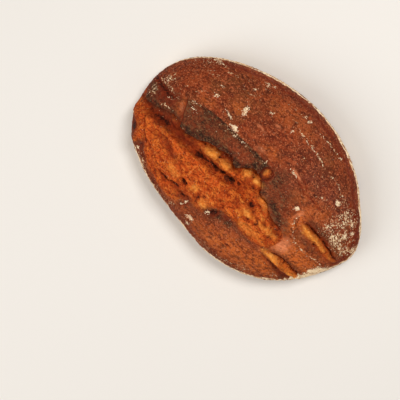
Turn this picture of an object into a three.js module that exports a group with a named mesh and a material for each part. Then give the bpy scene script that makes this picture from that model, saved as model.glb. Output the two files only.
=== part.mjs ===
// Oval hearth loaf: country bread shaped by hand, slashed and baked on the oven floor, all in one piece.
// Millimetres. +Z is up, +X runs along the loaf, and the origin is the middle of the base.
import * as THREE from "three";
import { mergeGeometries, mergeVertices } from "three/addons/utils/BufferGeometryUtils.js";

// Driving dimensions
const LENGTH = 290; // tip to tip, along X
const WIDTH = 197; // across the widest place, along Y
const CROWN_HEIGHT = 78; // top of the domed crust, without the ear that stands over it
const RIM_HEIGHT = 15; // height of the widest line round the side
const BASE_INSET = 11; // how far the flat base stops short of the widest line
const CROWN_FULLNESS = 2.5; // 2 is an ellipsoid; more is flatter on top and steeper at the side

// The long slash: its upper edge curls up as an ear, and the crumb tears open below it
const EAR_RISE = 6; // lip of the ear over the dome
const SECOND_EAR_RISE = 3; // lip of the shorter ear that carries on behind the first
const TEAR_DEPTH = 5; // floor of the tear below the dome
const FURROW_DEPTH = 3; // furrow at the foot of the tear, below its floor
const CREST_RISE = 2; // torn crumb swelling out below the furrow
const EDGE_RUN = 8; // how wide the slope is at a torn edge
const KNOB = { x: -118, y: 2, reach: 18, rise: 4 }; // blistered knob at the ear's far end

// Short slashes near the +X tip: from and to in plan, half their width, their depth and raised edge
const SHORT_SLASHES = [
  { from: [80, 4], to: [128, -5], halfWidth: 6, depth: 4, lip: 2 },
  { from: [74, -43], to: [122, -46], halfWidth: 6, depth: 3, lip: 1 },
];

// Mesh fineness
const CELLS = 48; // squares along each side of the grid that covers the crown
const SHOULDER = 0.93; // reach of that grid, as a share of the widest line's radius
const SHOULDER_RINGS = 4; // from the widest line to the shoulder
const SIDE_RINGS = 4; // from the base to the widest line
const OUTLINE_STEPS = 720; // samples of the outline curve
const WELD = 1e-3; // vertices closer than this are one

// Outline of the widest line, counterclockwise from the +X tip; it is fitted to LENGTH and WIDTH
const OUTLINE = [
  [144.5, 0], [138.5, 26], [117, 50.5], [83, 77], [40, 94], [-8, 98], [-58, 89], [-106, 67.5],
  [-137, 35], [-144.5, -6], [-131, -50], [-93, -76], [-38, -90], [24, -98], [62, -92], [98, -74],
  [126, -42],
];

// Lines that the slash follows across the crust, from -X to +X
const EAR_CREASE = [[-98, 18], [-83, 24], [-58, 28], [2, 27], [20, 22]];
const EAR_LIP = [[-98, 17], [-86, 0], [-70, -6], [-48, 2], [-20, 7], [-10, 4], [6, 12], [20, 16]];
const SECOND_CREASE = [[20, 30], [45, 32], [76, 8]];
const SECOND_LIP = [[20, 8], [37, -2], [57, -11], [76, -14]];
const FURROW = [[-140, -19], [-58, -19], [12, -15], [78, -20]];
const LOWER_EDGE = [[-140, -40], [-103, -56], [-38, -62], [2, -56], [32, -47], [78, -42]];

const clamp01 = (t) => THREE.MathUtils.clamp(t, 0, 1);
const smooth = (low, high, t) => THREE.MathUtils.smoothstep(t, low, high);
const bell = (t) => Math.exp(-(t ** 2));

// The second coordinate of a line given by points, where its first coordinate is x.
function across(line, x) {
  const next = line.findIndex(([px]) => px > x);
  if (next === 0) return line[0][1];
  if (next < 0) return line.at(-1)[1];
  const [[x0, y0], [x1, y1]] = line.slice(next - 1, next + 1);
  return THREE.MathUtils.mapLinear(x, x0, x1, y0, y1);
}

// 1 along a line, fading to 0 over a run inside each of its ends.
function alongLine(line, x, run) {
  const [start, end] = [line[0][0], line.at(-1)[0]];
  return smooth(start, start + run, x) * (1 - smooth(end - run, end, x));
}

// A flap of crust that leaves the dome at its crease and stands highest at its lip.
function flap(x, y, crease, lip, rise) {
  const top = across(crease, x);
  const edge = across(lip, x);
  const lifted = clamp01((top - y) / Math.max(top - edge, EDGE_RUN));
  const kept = smooth(edge - EDGE_RUN, edge, y);
  return rise * lifted * kept * alongLine(crease, x, EDGE_RUN * 2);
}

// The torn crumb between the ears and the lower edge: a floor, a furrow, then a swelling crest.
function tear(x, y) {
  const upper = across(x < SECOND_LIP[0][0] ? EAR_LIP : SECOND_LIP, x);
  const furrow = across(FURROW, x);
  const lower = across(LOWER_EDGE, x);
  const floor = (1 - smooth(upper - EDGE_RUN, upper, y)) * smooth(furrow - EDGE_RUN, furrow, y);
  const groove = bell((y - furrow) / EDGE_RUN);
  const crest = (1 - smooth(furrow - EDGE_RUN, furrow, y)) * smooth(lower, lower + EDGE_RUN * 3, y);
  const height = CREST_RISE * crest - TEAR_DEPTH * floor - FURROW_DEPTH * groove;
  return height * alongLine(FURROW, x, EDGE_RUN * 4);
}

// A short slash: a shallow pointed trough with a lip along its upper side.
function shortSlash(x, y, { from, to, halfWidth, depth, lip }) {
  const along = clamp01((x - from[0]) / (to[0] - from[0]));
  const offset = (y - THREE.MathUtils.lerp(from[1], to[1], along)) / halfWidth;
  return Math.sin(Math.PI * along) * (lip * bell(offset - 1.5) - depth * bell(offset));
}

// How far the crust stands above (+) or below (-) the plain dome at a place in plan.
function relief(x, y) {
  const knob = KNOB.rise * bell(Math.hypot(x - KNOB.x, y - KNOB.y) / KNOB.reach);
  const ear = flap(x, y, EAR_CREASE, EAR_LIP, EAR_RISE);
  const secondEar = flap(x, y, SECOND_CREASE, SECOND_LIP, SECOND_EAR_RISE);
  const slashes = SHORT_SLASHES.reduce((sum, slash) => sum + shortSlash(x, y, slash), 0);
  return ear + secondEar + tear(x, y) + knob + slashes;
}

// Height of the plain dome, where reach is the share of the way out to the widest line.
function crownHeight(reach) {
  return RIM_HEIGHT + (CROWN_HEIGHT - RIM_HEIGHT) * Math.sqrt(1 - reach ** CROWN_FULLNESS);
}

// The crown at a round radius: a square grid bent to a disc, its edge vertices evenly spaced.
function crownGeometry(radius) {
  const crown = new THREE.PlaneGeometry(2, 2, CELLS, CELLS);
  const position = crown.getAttribute("position");
  for (let i = 0; i < position.count; i++) {
    const u = Math.sin((position.getX(i) * Math.PI) / 4);
    const v = Math.sin((position.getY(i) * Math.PI) / 4);
    const x = SHOULDER * Math.SQRT2 * u * Math.sqrt(1 - v * v);
    const y = SHOULDER * Math.SQRT2 * v * Math.sqrt(1 - u * u);
    position.setXYZ(i, x * radius, y * radius, crownHeight(Math.hypot(x, y)));
  }
  return crown;
}

// The side at a round radius: from the base's edge, out to the widest line and in to the shoulder.
function sideGeometry(radius) {
  const profile = [];
  for (let i = 0; i < SIDE_RINGS; i++) {
    const turn = (i / SIDE_RINGS) * (Math.PI / 2);
    const inset = BASE_INSET * (1 - Math.sin(turn));
    profile.push(new THREE.Vector2(radius - inset, RIM_HEIGHT * (1 - Math.cos(turn))));
  }
  for (let i = 0; i <= SHOULDER_RINGS; i++) {
    const reach = Math.cos((i / SHOULDER_RINGS) * Math.acos(SHOULDER));
    profile.push(new THREE.Vector2(radius * reach, crownHeight(reach)));
  }
  return new THREE.LatheGeometry(profile, CELLS * 4).rotateX(Math.PI / 2);
}

// The outline's radius as a function of the angle round the loaf.
function outlineRadius() {
  const corners = OUTLINE.map(([x, y]) => new THREE.Vector3(x, y, 0));
  const curve = new THREE.CatmullRomCurve3(corners, true, "catmullrom");
  const points = curve.getPoints(OUTLINE_STEPS);
  const box = new THREE.Box3().setFromPoints(points);
  const middle = box.getCenter(new THREE.Vector3());
  const size = box.getSize(new THREE.Vector3());
  const polar = points.slice(1).map((point) => {
    const x = ((point.x - middle.x) * LENGTH) / size.x;
    const y = ((point.y - middle.y) * WIDTH) / size.y;
    return [Math.atan2(y, x), Math.hypot(x, y)];
  });
  polar.sort(([a], [b]) => a - b);
  const [first, last] = [polar[0], polar.at(-1)];
  polar.unshift([last[0] - 2 * Math.PI, last[1]]);
  polar.push([first[0] + 2 * Math.PI, first[1]]);
  return (angle) => across(polar, angle);
}

// The whole loaf: crown, side and flat base, stretched to the outline, with the relief raised on top.
function loafGeometry() {
  const radius = (LENGTH + WIDTH) / 4;
  const base = new THREE.CircleGeometry(radius - BASE_INSET, CELLS * 4).rotateX(Math.PI);
  const pieces = [crownGeometry(radius), sideGeometry(radius), base];
  pieces.forEach((piece) => ["normal", "uv"].forEach((name) => piece.deleteAttribute(name)));
  const geometry = mergeVertices(mergeGeometries(pieces), WELD);
  const radiusAt = outlineRadius();
  const position = geometry.getAttribute("position");
  for (let i = 0; i < position.count; i++) {
    const stretch = radiusAt(Math.atan2(position.getY(i), position.getX(i))) / radius;
    const x = position.getX(i) * stretch;
    const y = position.getY(i) * stretch;
    const onCrown = smooth(RIM_HEIGHT, RIM_HEIGHT * 2, position.getZ(i));
    position.setXYZ(i, x, y, position.getZ(i) + onCrown * relief(x, y));
  }
  geometry.computeVertexNormals();
  return geometry;
}

const crust = new THREE.MeshStandardMaterial({ color: "#8a4220", roughness: 0.8, metalness: 0 });
const loaf = new THREE.Mesh(loafGeometry(), crust);
loaf.name = "loaf";

const part = new THREE.Group();
part.add(loaf);

export default part;
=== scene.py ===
"""An oval hearth loaf: its dark baked crust, the long slash that tore open, and the flour left on it.

Features of the loaf are measured in millimetres from the middle of its base, +X along the loaf and +Y
across it, and MM turns them into metres. The crown is shaped feature by feature, each of which raises or
sinks the skin and paints it; Geometry Nodes then raise the fine grain and scatter the loose flour.
"""
import itertools
import logging
import math
from dataclasses import dataclass, field
from enum import Enum
from typing import Any

import bpy
import numpy as np
from mathutils import Matrix, Vector


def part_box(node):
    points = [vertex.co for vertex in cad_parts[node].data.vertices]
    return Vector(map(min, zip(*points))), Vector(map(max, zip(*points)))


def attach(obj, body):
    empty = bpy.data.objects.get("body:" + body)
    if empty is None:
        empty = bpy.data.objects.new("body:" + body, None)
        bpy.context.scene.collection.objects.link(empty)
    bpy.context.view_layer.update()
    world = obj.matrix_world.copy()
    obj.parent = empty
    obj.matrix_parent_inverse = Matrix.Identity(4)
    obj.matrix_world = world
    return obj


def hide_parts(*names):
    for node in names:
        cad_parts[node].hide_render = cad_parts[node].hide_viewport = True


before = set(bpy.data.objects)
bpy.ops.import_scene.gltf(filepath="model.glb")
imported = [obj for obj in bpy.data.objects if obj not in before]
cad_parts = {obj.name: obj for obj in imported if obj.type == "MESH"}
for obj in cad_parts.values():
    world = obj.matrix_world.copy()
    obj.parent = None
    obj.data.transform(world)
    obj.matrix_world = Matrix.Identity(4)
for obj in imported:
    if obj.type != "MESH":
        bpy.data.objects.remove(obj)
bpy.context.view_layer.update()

MM = 0.001  # metres in a millimetre
SEED = 41  # every random draw starts from here
LOG = logging.getLogger("loaf")


class Paint(Enum):
    """The layers of paint kept on the loaf's vertices, each from 0 to 1."""

    TORN = "torn_crumb"
    # char, and painted shade in some hollows beside the slashes and at the far end
    CHAR_AND_SHADE = "char_and_shade"
    # dark red scab, and painted shade in the furrow, under the lips and along the widest line
    SCAB_AND_SHADE = "scab_and_shade"
    # toasted gold, and painted highlight on the lit lumps of crumb
    GOLD_AND_HIGHLIGHT = "gold_and_highlight"
    TAWNY = "tawny"
    BARE = "bare_blister"
    # painted shade in hollows, cracks, pits, pores and under lips
    PAINTED_SHADE = "painted_shade"
    FLOUR = "flour"
    CLUMPS = "flour_clumps"
    SIDE = "floured_side"
    DUSKY = "dusky"


# ---------------------------------------------------------------------------------------------------------
# Small helpers


def smooth(value: np.ndarray, low: float = 0.0, high: float = 1.0) -> np.ndarray:
    """Ease from 0 at low to 1 at high.

    Args:
        value: What is compared.
        low: Where the result leaves 0.
        high: Where the result reaches 1.

    Returns:
        The eased share, 0 to 1.
    """
    share = np.clip((value - low) / (high - low), 0.0, 1.0)
    return share * share * (3.0 - 2.0 * share)


def bell(value: np.ndarray) -> np.ndarray:
    """A smooth hump: 1 where value is 0, about a third where it is 1."""
    return np.exp(-np.square(value))


def mix(first: Any, second: Any, share: Any) -> Any:
    """Blend from first to second."""
    return first + (second - first) * share


@dataclass(frozen=True)
class Fade:
    """Where something comes in, going either up or down the scale."""

    none: float  # nothing of it here
    full: float  # all of it here

    def at(self, value: np.ndarray) -> np.ndarray:
        """The share of it at each value."""
        return smooth(value, self.none, self.full)


@dataclass(frozen=True)
class Band:
    """A soft band, strongest along its middle."""

    middle: float
    width: float

    def at(self, value: np.ndarray) -> np.ndarray:
        """How strong it is at each value."""
        return bell((value - self.middle) / self.width)


class Noise:
    """Smooth random fields in space that come out the same on every run."""

    table: int = 256  # random directions, which the lattice takes turns with
    gain: float = 1.7  # brings one octave to about -1 to 1
    step: float = 17.3  # moves each finer octave, so that no two line up

    def __init__(self, seed: int) -> None:
        """Draw the random directions.

        Args:
            seed: Where the random draws start.
        """
        rng = np.random.default_rng(seed)
        self.order = np.tile(rng.permutation(self.table), 2)
        directions = rng.normal(size=(self.table, 3))
        self.slopes = directions / np.linalg.norm(directions, axis=1, keepdims=True)
        self.scatter = rng.random((self.table, 3))

    def _pick(self, cell: np.ndarray) -> np.ndarray:
        """The table entry of each lattice cell."""
        at = cell % self.table
        return self.order[self.order[self.order[at[:, 0]] + at[:, 1]] + at[:, 2]]

    def _octave(self, points: np.ndarray) -> np.ndarray:
        """Read one octave of gradient noise.

        Args:
            points: Where it is read, one lattice cell to a unit.

        Returns:
            One value for each point, about -1 to 1.
        """
        cell = np.floor(points).astype(int)
        inside = points - cell
        ease = inside**3 * (inside * (inside * 6 - 15) + 10)
        total = np.zeros(len(points))
        for corner in itertools.product((0, 1), repeat=3):
            slope = np.einsum("ij,ij->i", self.slopes[self._pick(cell + corner)], inside - corner)
            total += slope * np.prod(np.where(corner, ease, 1 - ease), axis=1)
        return total * self.gain

    def field(self, points: np.ndarray, size: float, octaves: int = 1) -> np.ndarray:
        """A smooth field over some points.

        Args:
            points: Where it is read, in millimetres, one row each.
            size: How far apart its swells are, in millimetres.
            octaves: How many finer layers are added, each half as large and half as strong.

        Returns:
            One value for each point, about -1 to 1.
        """
        total = np.zeros(len(points))
        for octave in range(octaves):
            finer = 2**octave
            total += self._octave(points * (finer / size) + self.step * octave) / finer
        return total

    def cells(self, points: np.ndarray, size: float) -> np.ndarray:
        """How far each point is from the nearest of some scattered seeds.

        Args:
            points: Where it is read, in millimetres, one row each.
            size: How far apart the seeds are, in millimetres.

        Returns:
            The distance as a share of size, about 0 to 1.
        """
        scaled = points / size
        cell = np.floor(scaled).astype(int)
        nearest = np.full(len(points), np.inf)
        for offset in itertools.product((-1, 0, 1), repeat=3):
            at = cell + offset
            seed = at + self.scatter[self._pick(at)]
            nearest = np.minimum(nearest, np.linalg.norm(seed - scaled, axis=1))
        return nearest


@dataclass(frozen=True)
class Ripple:
    """An even, random unevenness: of an edge's course, of a surface or of how thickly something lies."""

    height: float  # either way
    size: float  # how far apart its swells are, in millimetres
    octaves: int = 2
    shift: float = 0.0  # moves it through the noise, so that no two ripples match

    def at(self, noise: Noise, points: np.ndarray) -> np.ndarray:
        """Its height at each point."""
        return self.height * noise.field(points + self.shift, self.size, self.octaves)


@dataclass(frozen=True)
class Line:
    """A curve through a few points, read along its first coordinate."""

    points: tuple[tuple[float, float], ...]

    def at(self, x: np.ndarray) -> np.ndarray:
        """Read the curve, which swings past none of its points.

        Args:
            x: The first coordinate of each place.

        Returns:
            The second coordinate there, held level past both ends.
        """
        knots = np.array(self.points)
        runs = np.diff(knots[:, 1]) / np.diff(knots[:, 0])
        before, after = runs[:-1], runs[1:]
        level = before * after <= 0  # the curve turns here, so it doesn't swing past the point
        turns = np.where(level, 0, 2 * before * after / np.where(level, 1, before + after))
        slopes = np.concatenate([runs[:1], turns, runs[-1:]])
        x = np.clip(x, knots[0, 0], knots[-1, 0])
        i = np.clip(np.searchsorted(knots[:, 0], x) - 1, 0, len(knots) - 2)
        span = knots[i + 1, 0] - knots[i, 0]
        t = (x - knots[i, 0]) / span
        start = knots[i, 1] * (1 + 2 * t) * (1 - t) ** 2 + slopes[i] * span * t * (1 - t) ** 2
        end = knots[i + 1, 1] * t**2 * (3 - 2 * t) - slopes[i + 1] * span * t**2 * (1 - t)
        return start + end


@dataclass(frozen=True)
class Stroke:
    """A soft line on the crown, drawn straight from point to point."""

    width: float  # half of it, about
    amount: float
    points: tuple[tuple[float, float], ...]

    def cover(self, x: np.ndarray, y: np.ndarray) -> np.ndarray:
        """How strongly each place is covered, without the amount.

        Args:
            x: Each place along the loaf.
            y: Each place across it.

        Returns:
            1 on the line, fading to 0 beside it.
        """
        nearest = np.full(x.shape, np.inf)
        for (ax, ay), (bx, by) in itertools.pairwise(self.points):
            dx, dy = bx - ax, by - ay
            t = np.clip(((x - ax) * dx + (y - ay) * dy) / (dx * dx + dy * dy), 0.0, 1.0)
            nearest = np.minimum(nearest, np.hypot(x - ax - t * dx, y - ay - t * dy))
        return bell(nearest / self.width)


@dataclass(frozen=True)
class Spot:
    """A soft oval on the crown."""

    FALL = 0.7  # halves it at the oval's edge
    STEEPNESS = 1.5  # of its side: 1 is a bell's

    x: float
    y: float
    long: float  # half its length
    wide: float  # half its width
    turn: float = 0.0  # degrees from +X
    amount: float = 1.0

    def cover(self, x: np.ndarray, y: np.ndarray) -> np.ndarray:
        """How strongly each place is covered.

        Args:
            x: Each place along the loaf.
            y: Each place across it.

        Returns:
            The amount in the middle, half of it at the oval's edge, and nothing further out.
        """
        angle = math.radians(self.turn)
        dx, dy = x - self.x, y - self.y
        along = (dx * math.cos(angle) + dy * math.sin(angle)) / self.long
        across = (dy * math.cos(angle) - dx * math.sin(angle)) / self.wide
        return self.amount * np.exp(-self.FALL * (along * along + across * across) ** self.STEEPNESS)


def spots(*rows: tuple[float, ...]) -> tuple[Spot, ...]:
    """Spots from rows of their values."""
    return tuple(Spot(*row) for row in rows)


@dataclass
class Skin:
    """The loaf's skin while it is shaped, with one value for each vertex, in millimetres."""

    place: np.ndarray  # on the plain loaf
    normal: np.ndarray
    quads: np.ndarray
    triangles: np.ndarray
    crown: np.ndarray  # 1 on the crown, 0 below the widest line
    reach_left: np.ndarray  # how far inside the widest line, on the plan
    lift: np.ndarray = field(init=False)  # outwards from the plain loaf
    slide: np.ndarray = field(init=False)  # across the loaf, towards -Y
    paint: dict[Paint, np.ndarray] = field(init=False)

    def __post_init__(self) -> None:
        """Start with nothing raised and nothing painted."""
        self.lift = np.zeros(len(self.place))
        self.slide = np.zeros(len(self.place))
        self.paint = {layer: np.zeros(len(self.place)) for layer in Paint}

    @property
    def x(self) -> np.ndarray:
        """Place along the loaf."""
        return self.place[:, 0]

    @property
    def y(self) -> np.ndarray:
        """Place across the loaf."""
        return self.place[:, 1]

    @property
    def flat(self) -> np.ndarray:
        """Places on the plan, where unevenness is read that is the same all the way down a wall."""
        return self.place * (1, 1, 0)

    def add(self, layer: Paint, cover: np.ndarray) -> None:
        """Paint a layer where it isn't covered more strongly already."""
        self.paint[layer] = np.maximum(self.paint[layer], cover)


# ---------------------------------------------------------------------------------------------------------
# The plain loaf


@dataclass
class LoafForm:
    """The plain loaf before it is slashed: a dome on a flat base, drawn out to its outline."""

    length: float  # along X, from the frame
    width: float  # along Y, from the frame
    height: float  # with the ear, from the frame
    crown_share: float = 0.93  # top of the dome, as a share of the height with the ear
    rim_height: float = 15.0  # height of the widest line
    base_inset: float = 11.0  # how far the flat base stops short of the widest line
    fullness: float = 2.5  # 2 is an ellipsoid; more is flatter on top
    shoulder: float = 0.93  # reach of the crown's grid, as a share of the way out
    cells_long: int = 280  # squares of that grid along X
    cells_wide: int = 200  # and along Y
    crowding: float = 0.35  # how much closer its rows stand near the slash
    base_step: int = 4  # one base square for so many squares of the crown
    shoulder_rings: int = 18
    side_rings: int = 13
    crown_fade: float = 1.6  # the crown's features are whole from so many times the widest line's height
    base_reach: float = 1.2  # how far the base's own grid stops short, as a share of base_inset
    curve_steps: int = 40  # between two corners of the outline
    outline: tuple[tuple[float, float], ...] = (
        (144.5, 0), (138.5, 26), (117, 50.5), (83, 77), (40, 94), (-8, 98), (-58, 89), (-106, 67.5),
        (-137, 35), (-144.5, -6), (-131, -50), (-93, -76), (-38, -90), (24, -98), (62, -92), (98, -74),
        (126, -42),
    )

    def __post_init__(self) -> None:
        """Work out the outline's radius at every angle, fitted to the frame's length and width."""
        corners = np.array(self.outline)
        before, after = np.roll(corners, 1, axis=0), np.roll(corners, -1, axis=0)
        beyond = np.roll(corners, -2, axis=0)
        t = np.linspace(0, 1, self.curve_steps, endpoint=False)[:, None, None]
        curve = 0.5 * (2 * corners + (after - before) * t
                       + (2 * before - 5 * corners + 4 * after - beyond) * t**2
                       + (3 * corners - before - 3 * after + beyond) * t**3)
        curve = curve.reshape(-1, 2)
        low, high = curve.min(axis=0), curve.max(axis=0)
        curve = (curve - (low + high) / 2) * np.array((self.length, self.width)) / (high - low)
        angle = np.arctan2(curve[:, 1], curve[:, 0])
        order = np.argsort(angle)
        self._angles = angle[order]
        self._radii = np.hypot(curve[:, 0], curve[:, 1])[order]

    def radius(self, angle: np.ndarray) -> np.ndarray:
        """Radius of the widest line at each angle round the loaf."""
        return np.interp(angle, self._angles, self._radii, period=2 * math.pi)

    def crown_height(self, reach: np.ndarray) -> np.ndarray:
        """Height of the plain dome, where reach is the share of the way out to the widest line."""
        rise = self.height * self.crown_share - self.rim_height
        return self.rim_height + rise * np.sqrt(1 - np.clip(reach, 0, 1) ** self.fullness)

    def _disc(self, cells_long: int, cells_wide: int, crowding: float) -> tuple[np.ndarray, np.ndarray]:
        """A grid of squares bent to a disc of radius 1.

        Args:
            cells_long: Squares along X.
            cells_wide: Squares along Y.
            crowding: How much closer its middle rows stand.

        Returns:
            The places of its vertices, and their numbers as a grid.
        """
        u = np.linspace(-1, 1, cells_long + 1)[:, None] * math.pi / 4
        v = np.linspace(-1, 1, cells_wide + 1)[None, :] * math.pi / 4
        x = math.sqrt(2) * np.sin(u) * np.cos(v)
        y = math.sqrt(2) * np.sin(v) * np.cos(u)
        y = y * (1 - crowding * (1 - x**2 - y**2))
        places = np.stack([x, y], axis=-1).reshape(-1, 2)
        return places, np.arange(len(places)).reshape(cells_long + 1, cells_wide + 1)

    @staticmethod
    def _rim(grid: np.ndarray) -> np.ndarray:
        """The numbers of a grid's edge vertices, counterclockwise from its lowest corner."""
        return np.concatenate([grid[:-1, 0], grid[-1, :-1], grid[:0:-1, -1], grid[0, :0:-1]])

    @staticmethod
    def _squares(grid: np.ndarray) -> np.ndarray:
        """The squares of a grid, facing up."""
        corners = (grid[:-1, :-1], grid[1:, :-1], grid[1:, 1:], grid[:-1, 1:])
        return np.stack(corners, axis=-1).reshape(-1, 4)

    def _spread(self, unit: np.ndarray, reach: float) -> np.ndarray:
        """Places on the plan from places on a unit disc."""
        angle = np.arctan2(unit[:, 1], unit[:, 0])
        return unit * (self.radius(angle) * reach)[:, None]

    def _side_profile(self) -> list[tuple[float, float]]:
        """Draw the side, from below the shoulder to the base's edge.

        Returns:
            Reach and height of each ring.
        """
        mean_radius = (self.length + self.width) / 4
        turn = math.acos(self.shoulder)
        rings = []
        for i in range(1, self.shoulder_rings + 1):
            reach = math.cos(turn * (1 - i / self.shoulder_rings))
            rings.append((reach, float(self.crown_height(np.array(reach)))))
        for i in range(1, self.side_rings + 1):
            turned = (1 - i / self.side_rings) * math.pi / 2
            inset = self.base_inset * (1 - math.sin(turned)) / mean_radius
            rings.append((1 - inset, self.rim_height * (1 - math.cos(turned))))
        return rings

    def skin(self) -> Skin:
        """Build the plain loaf's closed skin.

        Returns:
            Its vertices, normals and faces.
        """
        unit, grid = self._disc(self.cells_long, self.cells_wide, self.crowding)
        plan = self._spread(unit, self.shoulder)
        height = self.crown_height(np.hypot(unit[:, 0], unit[:, 1]) * self.shoulder)
        places = [np.column_stack([plan, height])]
        quads = [self._squares(grid)]
        upper = self._rim(grid)
        count = len(unit)
        for reach, ring_height in self._side_profile():
            ring = self._spread(unit[self._rim(grid)], reach)
            places.append(np.column_stack([ring, np.full(len(ring), ring_height)]))
            lower = np.arange(count, count + len(ring))
            quads.append(np.column_stack([upper, lower, np.roll(lower, -1), np.roll(upper, -1)]))
            upper, count = lower, count + len(ring)
        inside, base = self._disc(self.cells_long // self.base_step, self.cells_wide // self.base_step, 0.0)
        base_plan = self._spread(inside, 1 - self.base_reach * self.base_inset / (self.width / 2))
        places.append(np.column_stack([base_plan, np.zeros(len(inside))]))
        quads.append(self._squares(base + count)[:, ::-1])
        edge = self._rim(base + count)
        return self._close(np.concatenate(places), np.concatenate(quads), upper, edge)

    def _close(self, place: np.ndarray, quads: np.ndarray, ring: np.ndarray, edge: np.ndarray) -> Skin:
        """Join the side's last ring to the coarser base and work out the normals.

        Args:
            place: All vertices.
            quads: All squares so far.
            ring: The side's last ring.
            edge: The base's edge, one vertex for so many of the ring.

        Returns:
            The closed skin.
        """
        triangles = []
        step = self.base_step
        for i, corner in enumerate(edge):
            run = [ring[(i * step + k) % len(ring)] for k in range(step + 1)]
            triangles += [(corner, b, a) for a, b in itertools.pairwise(run)]
            triangles.append((corner, edge[(i + 1) % len(edge)], run[-1]))
        triangles = np.array(triangles)
        normal = normals(place, quads, triangles)
        crown = smooth(place[:, 2], self.rim_height, self.rim_height * self.crown_fade)
        reach_left = self.radius(np.arctan2(place[:, 1], place[:, 0])) - np.hypot(place[:, 0], place[:, 1])
        return Skin(place, normal, quads, triangles, crown, reach_left)


def normals(place: np.ndarray, quads: np.ndarray, triangles: np.ndarray) -> np.ndarray:
    """Outward normals at the vertices of a mesh.

    Args:
        place: The vertices.
        quads: The four-sided faces.
        triangles: The three-sided faces.

    Returns:
        One unit normal for each vertex.
    """
    total = np.zeros_like(place)
    for faces in (quads, triangles):
        corners = place[faces]
        across = np.cross(corners[:, 2] - corners[:, 0], corners[:, -1] - corners[:, 1])
        for k in range(faces.shape[1]):
            for axis in range(3):
                total[:, axis] += np.bincount(faces[:, k], across[:, axis], len(place))
    return total / np.maximum(np.linalg.norm(total, axis=1, keepdims=True), 1e-9)


# ---------------------------------------------------------------------------------------------------------
# What the knife and the oven did to it


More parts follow.
